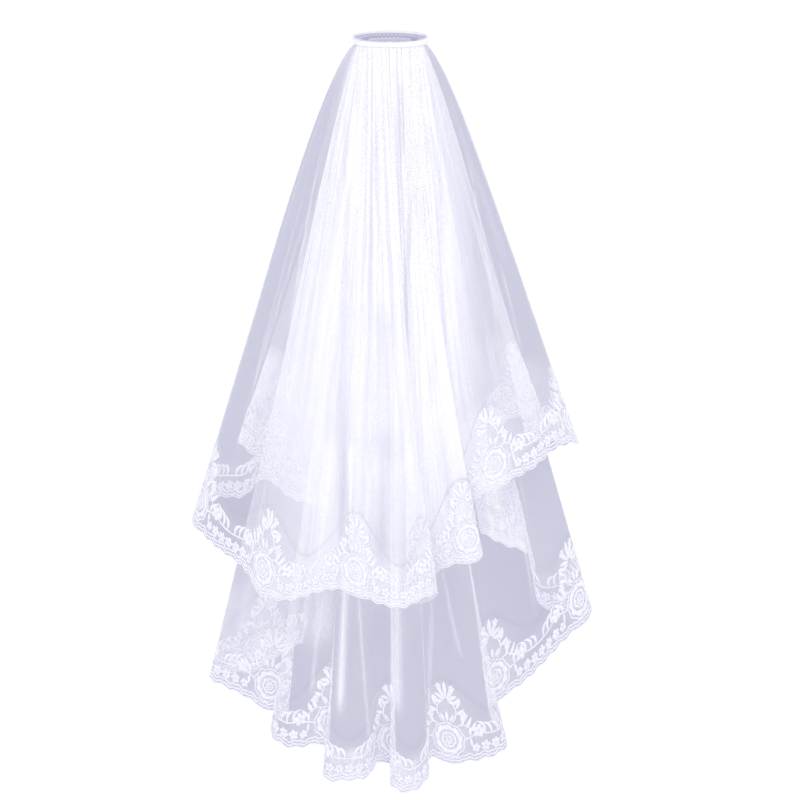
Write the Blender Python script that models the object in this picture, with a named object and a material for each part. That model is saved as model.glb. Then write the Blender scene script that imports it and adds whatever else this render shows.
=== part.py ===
"""Two-tier bridal veil: tulle gathered into a narrow band over a hair comb, with a rose-and-leaf lace edging.

Each tier is one sheet of cloth. Its top is gathered round an oval ring, and its hem follows a table of
folds, from the free edge at the front left, round the wearer's back, to the free edge at the front right.
Between the two the cloth flares out as it falls. The lace edging of each tier carries on from the tulle's
lower edge down to the hem.

Lengths are in millimetres and are turned to metres when a mesh is made. +Z is up, and the wearer faces +Y.
The tables are measured from the middle of the band's top. The part's origin is the middle of the comb's
spine.
"""

from collections import namedtuple
from math import cos, pi, radians, sin

import bmesh
import bpy
import numpy as np
from mathutils import Vector
from mathutils.geometry import delaunay_2d_cdt

# Cloth and seams
WALL = 1.2  # tulle and lace, as modelled
SEAM = 0.3  # clearance wherever two pieces meet
LEVEL_STEP = 0.004  # share of the fall over which the cloth's slope is read
COLUMN = 19.0  # width of cloth between two columns of points at the hem
SAMPLES = 16  # of the hem line, for each column
FOLD_ROUNDING = 0.45  # columns over which the hem's turns are rounded
FOLD_WIDTH = 3.0  # columns over which the hem's base line is averaged
FOLD_GROWTH = 2.0  # folds deepen as the fall to this power

# Band that holds the gathers: an oval ring, open below like an upturned channel
BAND_WIDTH = 90.4
BAND_DEPTH = 64.0
BAND_HEIGHT = 7.0
BAND_WALL = 1.0
BAND_SEGMENTS = 60

# Gathers: one pleat spans two hem columns, so it has four columns of points at the top
GATHER = 0.9  # how far a pleat stands off the ring inside the band
TIER_GAP = 4.0  # between the middles of the two tiers inside the band
TOP = BAND_WALL + SEAM  # depth of the gathered edge under the band's roof
NECK = BAND_HEIGHT + 1.5  # depth at which the cloth leaves the band and starts to flare
FREE_EDGE_TURNS = (98.0, 442.0)  # where the free edges leave the band, in degrees round it from the right
TIP_TURNS = (174.0, 370.0)  # where the cloth that falls to the left and right tips leaves it
PLEAT_LEVELS = (0.0, 0.02, 0.10, 0.22, 0.38, 0.50)
PLEAT_DEPTHS = (GATHER, GATHER, 2.0, 2.4, 1.4, 0.0)
PLEAT_STEEPNESS = 0.32  # deepest pleat, as a share of a column's width

# Lace edging, measured up from the hem
REPEAT = 136.0  # rose to rose
LACE_VALLEY = 48.0
LACE_PEAK = 96.0
ROSE_HEIGHT = 25.0
ROSE_RADIUS = 10.0
ROSE_RELIEF = 1.2
ROSE_PETALS = 6
SCALLOP_WIDTH = 44.0  # the large scallop under each rose
SCALLOP_DROP = 4.0
SMALL_SCALLOPS = 5
SMALL_SCALLOP_DROP = 1.6
ARCH_START = 26.0  # from the rose's middle to the first gap under the stem's arch
ARCH_GAPS = 4
ARCH_RIB = 4.0
ARCH_FOOT = 16.0
ARCH_SPRING = 29.0
ARCH_CROWN = 36.0
LACE_ROWS = (0.16, 0.55, 0.85)  # heights of the points between the gaps, as shares of the lace's
LACE_CLEAR = 3.5  # their distance from a gap, a crease or a rose
CREASE = 35.0  # degrees between two facets from which the lace is creased straight down between them
SHARP_CREASE = 75.0  # degrees from which no gap is cut across the crease
SPRAY_ROOT = 46.0
SPRAY_GAP_WIDTH = 9.0

# Comb sewn inside the front of the band
COMB_HALF_ANGLE = 50.0
COMB_TEETH = 13
COMB_SPINE_HEIGHT = 5.0
COMB_THICKNESS = 2.0
COMB_TOOTH_LENGTH = 32.0
COMB_TOOTH_TIP = 0.45  # width of a tooth's tip as a share of its root

Fold = namedtuple("Fold", "name x y drop flare")
# One row for each fold or turn of a hem. x is to the right and y towards the front, drop is the hem's depth
# below the band's top, and flare says how the cloth spreads: under 1 it opens at once, over 1 it hangs
# straight before it opens.
UPPER_HEM = (
    Fold("free edge, front left", -80, 128, 527, 1.00),
    Fold("front left", -125, 118, 514, 0.85),
    Fold("front left back fold", -181, 102, 494, 0.78),
    Fold("front left return", -128, 86, 540, 0.80),
    Fold("left inner fold", -76, 70, 570, 0.84),
    Fold("left inner wave", -117, 54, 561, 0.84),
    Fold("left rise", -150, 39, 530, 0.84),
    Fold("left dip", -173, 28, 555, 0.78),
    Fold("left shoulder", -203, 12, 552, 0.74),
    Fold("left tip", -234, -10, 568, 0.72),
    Fold("back left", -208, -52, 603, 0.77),
    Fold("back left wave", -175, -74, 624, 0.92),
    Fold("back left crest", -152, -100, 654, 1.00),
    Fold("back left flute", -119, -116, 659, 1.10),
    Fold("back left valley", -79, -104, 648, 1.20),
    Fold("back flute", -56, -118, 645, 1.25),
    Fold("back middle", -22, -136, 657, 1.25),
    Fold("back middle flute", 14, -142, 665, 1.25),
    Fold("back middle right", 40, -136, 652, 1.25),
    Fold("right pleat edge", 58, -124, 648, 1.25),
    Fold("right pleat inside", 18, -106, 668, 1.25),
    Fold("right pleat return", 68, -92, 621, 1.25),
    Fold("right pleat outer edge", 111, -80, 611, 1.30),
    Fold("back right inner fold", 80, -64, 574, 1.20),
    Fold("back right", 125, -54, 531, 1.05),
    Fold("right rise", 163, -42, 515, 0.95),
    Fold("right shoulder", 199, -24, 488, 0.78),
    Fold("right tip", 225, 2, 484, 0.72),
    Fold("right return", 200, 34, 489, 0.76),
    Fold("right inner fold", 158, 54, 488, 0.95),
    Fold("front right back fold", 187, 78, 467, 0.86),
    Fold("front right", 150, 100, 468, 0.95),
    Fold("free edge, front right", 122, 114, 486, 1.00),
)
LOWER_HEM = (
    Fold("free edge, front left", -103, 44, 731, 1.00),
    Fold("front left", -132, 31, 745, 0.90),
    Fold("front left rise", -162, 13, 760, 0.86),
    Fold("left tip", -217, -10, 766, 0.80),
    Fold("back left", -178, -24, 784, 0.86),
    Fold("back left wave", -142, -30, 801, 0.95),
    Fold("first inner fold", -118, -36, 801, 1.05),
    Fold("first flute, left edge", -145, -46, 824, 1.05),
    Fold("first flute", -118, -56, 846, 1.08),
    Fold("first flute, right edge", -72, -58, 837, 1.12),
    Fold("second flute, left edge", -81, -68, 879, 1.15),
    Fold("second flute", -52, -76, 881, 1.20),
    Fold("second flute, right edge", -24, -70, 876, 1.20),
    Fold("middle valley", -18, -54, 863, 1.20),
    Fold("third inner fold", 10, -50, 867, 1.20),
    Fold("third flute, left edge", -2, -64, 883, 1.20),
    Fold("third flute", 24, -76, 896, 1.20),
    Fold("third flute, right edge", 48, -68, 873, 1.25),
    Fold("right valley", 44, -54, 857, 1.30),
    Fold("fourth flute", 84, -50, 863, 1.45),
    Fold("fourth flute, right edge", 140, -44, 845, 1.65),
    Fold("back right inner fold", 116, -26, 801, 1.30),
    Fold("back right", 155, -14, 775, 1.05),
    Fold("right swing", 205, -4, 725, 0.88),
    Fold("right tip", 241, 10, 685, 0.80),
    Fold("right return", 176, 25, 684, 0.86),
    Fold("right rise", 168, 33, 624, 0.92),
    Fold("front right", 138, 43, 616, 0.96),
    Fold("free edge, front right", 107, 52, 600, 1.00),
)

Tier = namedtuple("Tier", "semi_x semi_y columns turns hem")
Hem = namedtuple("Hem", "column x y base_x base_y drop flare arc")


def smooth(knots, values, at):
    """The cubic curve through values at knots. Its slope at a knot is the mean slope of both neighbours."""
    slopes = np.gradient(values, knots)
    i = np.clip(np.searchsorted(knots, at, side="right") - 1, 0, len(knots) - 2)
    span = knots[i + 1] - knots[i]
    f = (at - knots[i]) / span
    start = (1 + 2 * f) * (1 - f) ** 2 * values[i] + f * (1 - f) ** 2 * span * slopes[i]
    end = f**2 * (3 - 2 * f) * values[i + 1] - f**2 * (1 - f) * span * slopes[i + 1]
    return start + end


def make_tier(inset, table):
    """One tier, gathered on the band's outer oval less inset, with a whole number of columns between two
    folds. Its hem is sampled finely, once with its folds and once as the base line that they swing about."""
    rows = np.array([fold[1:] for fold in table], float)
    steps = np.linalg.norm(np.diff(rows[:, :3], axis=0), axis=1)
    knots = np.concatenate([[0], np.cumsum(np.maximum(1, np.round(steps / COLUMN)))])
    columns = int(knots[-1])
    column = np.linspace(0, columns, columns * SAMPLES + 1)
    x, y, drop, flare = (averaged(smooth(knots, rows[:, k], column), FOLD_ROUNDING) for k in range(4))
    length = np.linalg.norm(np.diff(np.column_stack([x, y, drop]), axis=0), axis=1)
    arc = np.concatenate([[0], np.cumsum(length)])
    hem = Hem(column, x, y, averaged(x, FOLD_WIDTH), averaged(y, FOLD_WIDTH), drop, flare, arc)
    names = [fold.name for fold in table]
    tips = [knots[names.index(name)] for name in ("left tip", "right tip")]
    turns = ((0, *tips, columns), (FREE_EDGE_TURNS[0], *TIP_TURNS, FREE_EDGE_TURNS[1]))
    return Tier(BAND_WIDTH / 2 - inset, BAND_DEPTH / 2 - inset, columns, turns, hem)


def averaged(values, width):
    """Values of the hem averaged over the columns near each one, with bell-shaped weights of this width. Past
    an end they run on, turned about it by half a turn."""
    reach = int(3 * width * SAMPLES)
    weights = np.exp(-0.5 * (np.arange(-reach, reach + 1) / (width * SAMPLES)) ** 2)
    before = 2 * values[0] - values[reach:0:-1]
    after = 2 * values[-1] - values[-2 : -reach - 2 : -1]
    return np.convolve(np.concatenate([before, values, after]), weights / weights.sum(), "valid")


def at_column(tier, column, *names):
    """Columns of a tier's fine hem table at the given column."""
    return [np.interp(column, tier.hem.column, getattr(tier.hem, name)) for name in names]


def ring_of(tier, column):
    """The gathered edge's point at a column."""
    angle = np.radians(np.interp(column, *tier.turns))
    return tier.semi_x * np.cos(angle), tier.semi_y * np.sin(angle)


def neck_level(drop):
    """The level at which the cloth leaves the band."""
    return (NECK - TOP) / (drop - TOP)


def drape(tier, column, level):
    """The cloth without its pleats, at a column and a level from 0, in the band, to 1, at the hem: the ring's
    point moved towards the hem's base line by the level to the power of the flare, with the hem's folds added
    by the level to a power of their own."""
    hem_x, hem_y, drop, flare = at_column(tier, column, "x", "y", "drop", "flare")
    base_x, base_y = at_column(tier, column, "base_x", "base_y")
    ring_x, ring_y = ring_of(tier, column)
    neck = neck_level(drop)
    fall = np.clip((level - neck) / (1 - neck), 0, None)
    spread, fold = fall**flare, fall**FOLD_GROWTH
    x = ring_x + (base_x - ring_x) * spread + (hem_x - base_x) * fold
    y = ring_y + (base_y - ring_y) * spread + (hem_y - base_y) * fold
    return np.stack([x, y, -TOP - (drop - TOP) * level], -1)


def cloth(tier, column, level):
    """The middle of the cloth: its drape, moved sideways by a pleat that is a cosine of the column and no
    deeper than a share of the columns' width there."""
    along = drape(tier, column + 0.5, level) - drape(tier, column - 0.5, level)
    width = np.hypot(along[..., 0], along[..., 1])
    depth = np.minimum(np.interp(level, PLEAT_LEVELS, PLEAT_DEPTHS), width * PLEAT_STEEPNESS)
    pleat = depth * 2**0.5 * np.cos(pi * column - pi / 4) / width
    side = np.stack([along[..., 1], -along[..., 0], np.zeros_like(width)], -1)
    return drape(tier, column, level) + side * pleat[..., None]


def outward(tier, column, level, step):
    """The way out of the veil's hollow, square to the lines to the cloth's points a step before and a step
    after. It is a unit long on flat cloth and up to twice that at a sharp fold, where the wall is mitred."""
    before = np.where(column < step / 2, 0, step)
    after = np.where(column > tier.columns - step / 2, 0, step)
    here = cloth(tier, column, level)
    back = here - cloth(tier, column - before, level)
    ahead = cloth(tier, column + after, level) - here
    along = unit(np.where(before[:, None] > 0, back, ahead)) + unit(np.where(after[:, None] > 0, ahead, back))
    down = cloth(tier, column, level + LEVEL_STEP) - cloth(tier, column, level - LEVEL_STEP)
    mitre = 2 / np.maximum(np.linalg.norm(along, axis=-1, keepdims=True), 1)
    return unit(np.cross(down, along)) * mitre


def facets(tier, column, level, step):
    """The cloth's middle and its way out where it is folded flat between columns a step apart."""
    before = np.minimum(np.floor(column / step) * step, tier.columns - step)
    share = ((column - before) / step)[:, None]
    middle, normal = ((1 - share) * shape(before) + share * shape(before + step) for shape in (
        lambda at: cloth(tier, at, level), lambda at: outward(tier, at, level, step)))
    return middle, normal


def unit(vectors):
    return vectors / np.maximum(np.linalg.norm(vectors, axis=-1, keepdims=True), 1e-9)


def level_above_hem(tier, column, height):
    """The level that lies height above the hem, measured on the cloth."""
    hem_x, hem_y, drop, flare = at_column(tier, column, "x", "y", "drop", "flare")
    ring_x, ring_y = ring_of(tier, column)
    slope = flare * np.hypot(hem_x - ring_x, hem_y - ring_y)
    return 1 - height / np.hypot(drop, slope)


def repeats_of(tier):
    """How many roses the tier's edging has, and the hem's length between two of them."""
    length = tier.hem.arc[-1]
    count = round(length / REPEAT)
    return count, length / count


def lace_top(tier, column):
    """The height of the seam between tulle and lace: a peak over each rose and a valley between two."""
    _, repeat = repeats_of(tier)
    place = at_column(tier, column, "arc")[0] / repeat - 0.5
    return LACE_VALLEY + (LACE_PEAK - LACE_VALLEY) * (0.5 + 0.5 * np.cos(2 * pi * place))


def material(name, colour, roughness):
    """A plain non-metal finish."""
    made = bpy.data.materials.new(name)
    made.use_nodes = True
    surface = made.node_tree.nodes["Principled BSDF"]
    surface.inputs["Base Color"].default_value = (*colour, 1)
    surface.inputs["Roughness"].default_value = roughness
    surface.inputs["Metallic"].default_value = 0.0
    return made


def add_object(name, points, faces, finish, hub, smooth_shading=True):
    """A mesh object from points in millimetres, moved so that the comb's spine is at the origin."""
    mesh = bpy.data.meshes.new(name)
    mesh.from_pydata(((np.asarray(points) - COMB_SEAT) * 0.001).tolist(), [], faces)
    mesh.materials.append(finish)
    if smooth_shading:
        mesh.shade_smooth()
        mesh.set_sharp_from_angle(angle=radians(50))
    made = bpy.data.objects.new(name, mesh)
    made.parent = hub
    bpy.context.scene.collection.objects.link(made)
    return made


def thicken(middle, normals, column, triangles, relief=0.0):
    """A closed wall round a middle surface: an outer skin raised by relief, an inner skin, and a rim round
    each boundary. Triangles run anticlockwise as seen from outside. The rim is always split from the outer
    point of the higher column, so that two rims facing each other at a seam are split alike."""
    count = len(middle)
    outer = middle + normals * (WALL / 2 + np.broadcast_to(relief, count))[:, None]
    inner = middle - normals * WALL / 2
    edges = {(a, b) for t in triangles for a, b in zip(t, t[1:] + t[:1])}
    rim = sorted(edge for edge in edges if edge[::-1] not in edges)
    faces = [tuple(t) for t in triangles]
    faces += [tuple(i + count for i in t[::-1]) for t in triangles]
    for a, b in rim:
        if column[a] < column[b]:
            faces += [(b, a, a + count), (b, a + count, b + count)]
        else:
            faces += [(b, a, b + count), (a, a + count, b + count)]
    return np.concatenate([outer, inner]), faces


def strip(upper, lower):
    """Triangles between two rows of point numbers, with as many steps above as below or twice as many."""
    found = []
    if len(upper) == len(lower):
        for a, b, c, d in zip(upper, upper[1:], lower, lower[1:]):
            found += [(a, c, d), (a, d, b)]
        return found
    for k in range(len(lower) - 1):
        a, b, c = upper[2 * k : 2 * k + 3]
        found += [(a, lower[k], b), (lower[k], lower[k + 1], b), (b, lower[k + 1], c)]
    return found


def tulle_panel(name, tier, finish, hub):
    """A tier's tulle, from inside the band to the seam above the lace: four columns of points for each pleat
    down to the middle of its fall, and half as many below."""
    fine = np.arange(2 * tier.columns + 1) / 2
    coarse = np.arange(tier.columns + 1.0)
    rows = [(fine, np.zeros_like(fine)), (fine, neck_level(*at_column(tier, fine, "drop")))]
    rows += [(fine, np.full_like(fine, level)) for level in (0.10, 0.22, 0.38)]
    rows.append((coarse, np.full_like(coarse, PLEAT_LEVELS[-1])))
    foot = level_above_hem(tier, coarse, lace_top(tier, coarse) + SEAM / 2)
    for share in (0.36, 0.70, 1.0):
        rows.append((coarse, PLEAT_LEVELS[-1] + (foot - PLEAT_LEVELS[-1]) * share))
    starts = np.cumsum([0] + [len(columns) for columns, _ in rows])
    numbers = [list(range(a, b)) for a, b in zip(starts, starts[1:])]
    column = np.concatenate([columns for columns, _ in rows])
    level = np.concatenate([levels for _, levels in rows])
    step = np.concatenate([np.full(len(columns), columns[1]) for columns, _ in rows])
    triangles = [t for a, b in zip(numbers, numbers[1:]) for t in strip(a, b)]
    points, faces = thicken(*facets(tier, column, level, step), column, triangles)
    return add_object(name, points, faces, finish, hub)


def hem_scallops(repeat):
    """Points of the hem over one repeat, from one rose's middle to the next: half of the large scallop, the
    small ones, and the other half."""
    half = SCALLOP_WIDTH / 2
    large = [(x, -SCALLOP_DROP * cos(pi * x / SCALLOP_WIDTH)) for x in (0.0, half * 0.4, half * 0.75)]
    width = (repeat - SCALLOP_WIDTH) / SMALL_SCALLOPS
    small = []
    for k in range(SMALL_SCALLOPS):
        small += [(half + width * k, 0.8), (half + width * (k + 0.5), -SMALL_SCALLOP_DROP)]
    return large + small + [(half + width * SMALL_SCALLOPS, 0.8)] + [(repeat - x, t) for x, t in large[:0:-1]]


def lace_gaps(repeat):
    """The clear gaps of one repeat as outlines round the rose at 0: a fan between the leaves of its spray,
    and a row between the hooked leaves under the stem's arch that leads to the next rose."""
    found = []
    for turn, reach in ((-64, 28), (-32, 34), (0, 38), (32, 34), (64, 28)):
        way = np.array([sin(radians(turn)), cos(radians(turn))])
        side = np.array([way[1], -way[0]]) * SPRAY_GAP_WIDTH / 2
        root = np.array([0.0, SPRAY_ROOT])
        broad = root + way * reach * 0.68
        found.append([root + way * 9, broad + side, root + way * reach, broad - side])
    span = (repeat - 2 * ARCH_START) / ARCH_GAPS
    for k in range(ARCH_GAPS):
        left, right = ARCH_START + span * k + ARCH_RIB / 2, ARCH_START + span * (k + 1) - ARCH_RIB / 2
        arch = [(x, ARCH_SPRING + (ARCH_CROWN - ARCH_SPRING) * sin(pi * (x - ARCH_START) / (span * ARCH_GAPS)))
                for x in (right, left)]
        found.append([(left, ARCH_FOOT), ((left + right) / 2, ARCH_FOOT + 2.5), (right, ARCH_FOOT), *arch])
    return found


def inside(outline, points):
    """Which of the points lie inside a closed outline, by counting the edges that each one's ray crosses."""
    outline = np.asarray(outline)
    after = np.roll(outline, -1, axis=0)
    x, y = points[:, :1], points[:, 1:]
    spans = (outline[:, 1] > y) != (after[:, 1] > y)
    slope = (after[:, 0] - outline[:, 0]) / np.where(spans, after[:, 1] - outline[:, 1], 1)
    return ((spans & (x < outline[:, 0] + slope * (y - outline[:, 1]))).sum(1) % 2).astype(bool)


def turns_at(tier, column):
    """The degrees by which the cloth turns at each of these columns, near its hem."""
    here = drape(tier, column, np.full_like(column, 0.93))
    steps = unit(np.diff(here, axis=0))
    turns = np.degrees(np.arccos(np.clip((steps[1:] * steps[:-1]).sum(1), -1, 1)))
    return np.concatenate([[0], turns, [0]])


def between_gaps(seam, gaps, roses):
    """Points on each column of the lace, at a few shares of its height, that stay clear of the gaps and the
    roses, so that the lace bends where the tulle does."""
    points = np.concatenate([seam[1:-1] * (1, share) for share in LACE_ROWS])
    solid = np.concatenate([*gaps, np.array(roses)])
    clear = np.linalg.norm(points[:, None] - solid[None], axis=2).min(1) > LACE_CLEAR
    for gap in gaps:
        clear &= ~inside(gap, points)
    return points[clear]


def lace_edging(name, tier, finish, hub):
    """A tier's lace: a band between the seam and the scalloped hem, drawn flat as length along the hem and
    height above it, cut through at its gaps, raised at its roses and then laid on the tier's surface."""
    count, repeat = repeats_of(tier)
    length = tier.hem.arc[-1]
    columns = np.arange(tier.columns + 1.0)
    seam = np.column_stack([*at_column(tier, columns, "arc"), lace_top(tier, columns) - SEAM / 2])
    hem = [(0.0, 0.0)]
    for k in range(-1, count):
        hem += [(x + repeat * (k + 0.5), t) for x, t in hem_scallops(repeat)[:-1]]
    hem = np.array([p for p in hem if 0 <= p[0] < length - 3] + [(length, 0.0)])
    hem = hem[np.concatenate([[True], np.diff(hem[:, 0]) > 3])]
    creases = seam[turns_at(tier, columns) > CREASE]
    sharp = seam[turns_at(tier, columns) > SHARP_CREASE][:, 0]
    hem = hem[(np.abs(hem[:, :1] - creases[:, 0]) > 1.5).all(1)]
    hem = np.concatenate([hem, np.column_stack([creases[:, 0], np.interp(creases[:, 0], *hem.T)])])
    hem = hem[np.argsort(hem[:, 0])]
    outline = np.concatenate([hem, seam[::-1]])

    gaps = []
    for k in range(-1, count + 1):
        for gap in lace_gaps(repeat):
            gap = np.array(gap) + (repeat * (k + 0.5), 0)
            left, right = gap[:, 0].min() - LACE_CLEAR, gap[:, 0].max() + LACE_CLEAR
            if 0 < left and right < length and not ((left < sharp) & (sharp < right)).any():
                gaps.append(gap)
    roses = []
    for k in range(count):
        middle = np.array([repeat * (k + 0.5), ROSE_HEIGHT])
        turns = 2 * pi * np.arange(ROSE_PETALS) / ROSE_PETALS
        roses += [middle, *(middle + ROSE_RADIUS * np.column_stack([np.cos(turns), np.sin(turns)]))]

    flat, edges = [], []
    for ring in (outline, *gaps):
        first = len(flat)
        flat += [tuple(p) for p in ring]
        edges += [(first + i, first + (i + 1) % len(ring)) for i in range(len(ring))]
    for crease in creases:
        top = len(hem) + int(np.flatnonzero(seam[::-1, 0] == crease[0])[0])
        edges.append((int(np.flatnonzero(hem[:, 0] == crease[0])[0]), top))
    flat += [tuple(p) for p in between_gaps(seam, gaps, roses)]
    first_rose = len(flat)
    flat += [tuple(p) for p in roses]
    flat, _, found, sources, *_ = delaunay_2d_cdt([Vector(p) for p in flat], edges, [], 0, 1e-5)
    flat = np.array([tuple(p) for p in flat])
    found = [tuple(t) for t in found]
    centres = np.array([flat[list(t)].mean(0) for t in found])
    kept = inside(outline, centres)
    for gap in gaps:
        near = np.abs(centres[:, 0] - gap[:, 0].mean()) < repeat
        kept[near] &= ~inside(gap, centres[near])
    triangles = [t for t, keep in zip(found, kept) if keep]

    raised = {first_rose + i: 0.2 if i % (ROSE_PETALS + 1) == 0 else ROSE_RELIEF for i in range(len(roses))}
    relief = np.array([max((raised.get(k, 0.0) for k in source), default=0.0) for source in sources])
    column = np.interp(flat[:, 0], tier.hem.arc, tier.hem.column)
    level = level_above_hem(tier, column, flat[:, 1])
    points, faces = thicken(*facets(tier, column, level, np.ones_like(column)), column, triangles, relief)
    return add_object(name, points, faces, finish, hub)


def gathering_band(finish, hub):
    """The band: an upturned channel swept round an oval, over the gathered edges of both tiers."""
    outer = 0.0
    inner = tier_inset(1) + WALL / 2 + GATHER + SEAM + BAND_WALL
    roof = -BAND_WALL
    profile = [(outer, -BAND_HEIGHT), (outer, 0), (inner, 0), (inner, -BAND_HEIGHT),
               (inner - BAND_WALL, -BAND_HEIGHT), (inner - BAND_WALL, roof),
               (BAND_WALL, roof), (BAND_WALL, -BAND_HEIGHT)]
    points = []
    for k in range(BAND_SEGMENTS):
        turn = 2 * pi * k / BAND_SEGMENTS
        points += [((BAND_WIDTH / 2 - inset) * cos(turn), (BAND_DEPTH / 2 - inset) * sin(turn), z)
                   for inset, z in profile]
    faces = []
    for k in range(BAND_SEGMENTS):
        here, there = k * len(profile), (k + 1) % BAND_SEGMENTS * len(profile)
        for i in range(len(profile)):
            j = (i + 1) % len(profile)
            faces.append((here + i, there + i, there + j, here + j))
    return add_object("gathering_band", points, faces, finish, hub)


def tier_inset(number):
    """How far the middle of a tier's gathered edge lies inside the band's outer oval; 0 is the upper tier."""
    return BAND_WALL + SEAM + GATHER + WALL / 2 + TIER_GAP * number


def hair_comb(finish, hub):
    """The comb: a curved spine that follows the band's inner wall, with its teeth drawn down out of every
    other stretch of its underside."""
    stations = 2 * COMB_TEETH
    turns = np.radians(90 + COMB_HALF_ANGLE * np.linspace(1, -1, stations))
    verts, faces = [], []
    for inset, z in COMB_SPINE:
        verts += [((BAND_WIDTH / 2 - inset) * cos(t), (BAND_DEPTH / 2 - inset) * sin(t), z) for t in turns]
    for i in range(len(COMB_SPINE)):
        j = (i + 1) % len(COMB_SPINE)
        faces += [(i * stations + k, i * stations + k + 1, j * stations + k + 1, j * stations + k)
                  for k in range(stations - 1)]
    corners = range(len(COMB_SPINE))
    faces.append(tuple(i * stations for i in reversed(corners)))
    faces.append(tuple(i * stations + stations - 1 for i in corners))
    comb = add_object("hair_comb", verts, faces, finish, hub, smooth_shading=False)
    shape = bmesh.new()
    shape.from_mesh(comb.data)
    bmesh.ops.recalc_face_normals(shape, faces=shape.faces)
    shape.faces.ensure_lookup_table()
    underside = sorted((f for f in shape.faces if f.normal.z < -0.9), key=lambda f: f.calc_center_median().x)
    grown = bmesh.ops.extrude_discrete_faces(shape, faces=underside[::2])["faces"]
    for tooth in grown:
        middle = tooth.calc_center_median()
        for corner in tooth.verts:
            corner.co = middle + (corner.co - middle) * COMB_TOOTH_TIP
            corner.co.z -= COMB_TOOTH_LENGTH * 0.001
    shape.to_mesh(comb.data)
    shape.free()
    return comb


# The comb's spine in section, as insets from the band's outer oval and heights
COMB_BACK = tier_inset(1) + WALL / 2 + GATHER + SEAM + BAND_WALL + SEAM
COMB_SPINE = (
    (COMB_BACK, -1.0),
    (COMB_BACK, -1.0 - COMB_SPINE_HEIGHT),
    (COMB_BACK + COMB_THICKNESS, -1.0 - COMB_SPINE_HEIGHT),
    (COMB_BACK + COMB_THICKNESS, -1.0),
)
COMB_SEAT = np.array([0, BAND_DEPTH / 2 - COMB_BACK - COMB_THICKNESS / 2, -1.0 - COMB_SPINE_HEIGHT / 2])


def main():
    for old in list(bpy.data.objects):
        bpy.data.objects.remove(old, do_unlink=True)
    hub = bpy.data.objects.new("veil", None)
    bpy.context.scene.collection.objects.link(hub)
    tulle = material("tulle", (0.90, 0.90, 0.95), 0.6)
    lace = material("lace", (0.95, 0.95, 0.98), 0.7)
    satin = material("satin_tape", (0.94, 0.94, 0.96), 0.45)
    plastic = material("comb_plastic", (0.86, 0.86, 0.88), 0.3)
    for number, (name, table) in enumerate((("upper", UPPER_HEM), ("lower", LOWER_HEM))):
        tier = make_tier(tier_inset(number), table)
        tulle_panel(f"{name}_tier_tulle", tier, tulle, hub)
        lace_edging(f"{name}_tier_lace", tier, lace, hub)
    gathering_band(satin, hub)
    hair_comb(plastic, hub)


main()
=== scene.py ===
"""Two-tier bridal veil: sheer tulle gathered into a narrow band on a comb, edged with rose-and-leaf
embroidery.

Each tier is one draped surface. Its top is gathered round an oval ring and its hem follows a table of
folds. Lengths in the tables are millimetres, measured from the middle of the band's top, and are turned to
metres when a mesh is made.
"""

from collections import namedtuple
from math import pi, radians

import bpy
import numpy as np
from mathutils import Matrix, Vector


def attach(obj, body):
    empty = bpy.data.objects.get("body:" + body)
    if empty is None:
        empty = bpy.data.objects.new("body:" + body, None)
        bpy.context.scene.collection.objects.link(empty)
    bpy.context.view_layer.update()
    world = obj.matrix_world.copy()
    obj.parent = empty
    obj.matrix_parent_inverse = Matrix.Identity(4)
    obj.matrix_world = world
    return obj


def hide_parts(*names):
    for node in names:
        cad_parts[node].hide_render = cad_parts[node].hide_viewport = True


bl_info = {
    "name": "Bridal veil",
    "version": (1, 0, 0),
    "blender": (4, 5, 0),
    "location": "3D View > Sidebar > Veil",
    "description": "Builds a two-tier bridal veil of tulle with an embroidered edging round its fixed frame",
    "category": "Object",
}

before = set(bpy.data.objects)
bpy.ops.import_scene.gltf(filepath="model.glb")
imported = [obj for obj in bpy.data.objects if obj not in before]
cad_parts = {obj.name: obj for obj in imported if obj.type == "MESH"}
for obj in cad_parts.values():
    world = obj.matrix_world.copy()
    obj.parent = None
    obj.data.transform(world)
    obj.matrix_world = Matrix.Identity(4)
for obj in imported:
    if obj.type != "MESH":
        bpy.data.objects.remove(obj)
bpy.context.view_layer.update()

SEAT = np.array([0.0, 21.1, -3.5])  # the comb's spine, which is the part's origin
MM = 0.001

# The band and the gathers, as in the frame
COLUMN = 19.0  # width of cloth between two columns at the hem
SAMPLES = 16
FOLD_ROUNDING = 0.45
FOLD_WIDTH = 3.0
FOLD_GROWTH = 2.0
BAND_WIDTH = 90.4
BAND_DEPTH = 64.0
BAND_HEIGHT = 7.0
BAND_WALL = 1.0
SEAM = 0.3
CAD_WALL = 1.2
GATHER = 0.9
TIER_GAP = 4.0
TOP = BAND_WALL + SEAM
NECK = BAND_HEIGHT + 1.5
FREE_EDGE_TURNS = (98.0, 442.0)
TIP_TURNS = (174.0, 370.0)
PLEAT_LEVELS = (0.0, 0.02, 0.10, 0.22, 0.38, 0.56)
PLEAT_DEPTHS = (0.35, 0.35, 0.8, 1.2, 1.0, 0.0)
PLEAT_STEEPNESS = 0.32
CREASE_FADE = 0.18  # share of a crease over which it comes and goes
HAZE_BODY = 0.4  # a fold's body at which its haze sets in

# The edging
REPEAT = 136.0
LACE_VALLEY = 48.0
LACE_PEAK = 96.0
ROSE_HEIGHT = 25.0
SCALLOP_WIDTH = 44.0
SCALLOP_DROP = 4.0
SCALLOP_CREST = 0.8
SMALL_SCALLOPS = 5
SMALL_SCALLOP_DROP = 1.6

# How finely the net is drawn
COLUMN_STEPS = 5  # points across the tulle for each column
TULLE_ROWS = 84
ROW_SPACING = 1.15  # above 1, the rows of points lie closer near the band
GROUND_STEP = 2.6  # between two points along the edging's net
GROUND_ROWS = 22
RIM_TAPER = 0.08  # half the thickness of a rim, as a share of the shell's
CLOTH_DEPTH = 65.0  # centimetres of cloth from a tier's top to its hem, near enough for its grain

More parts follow.
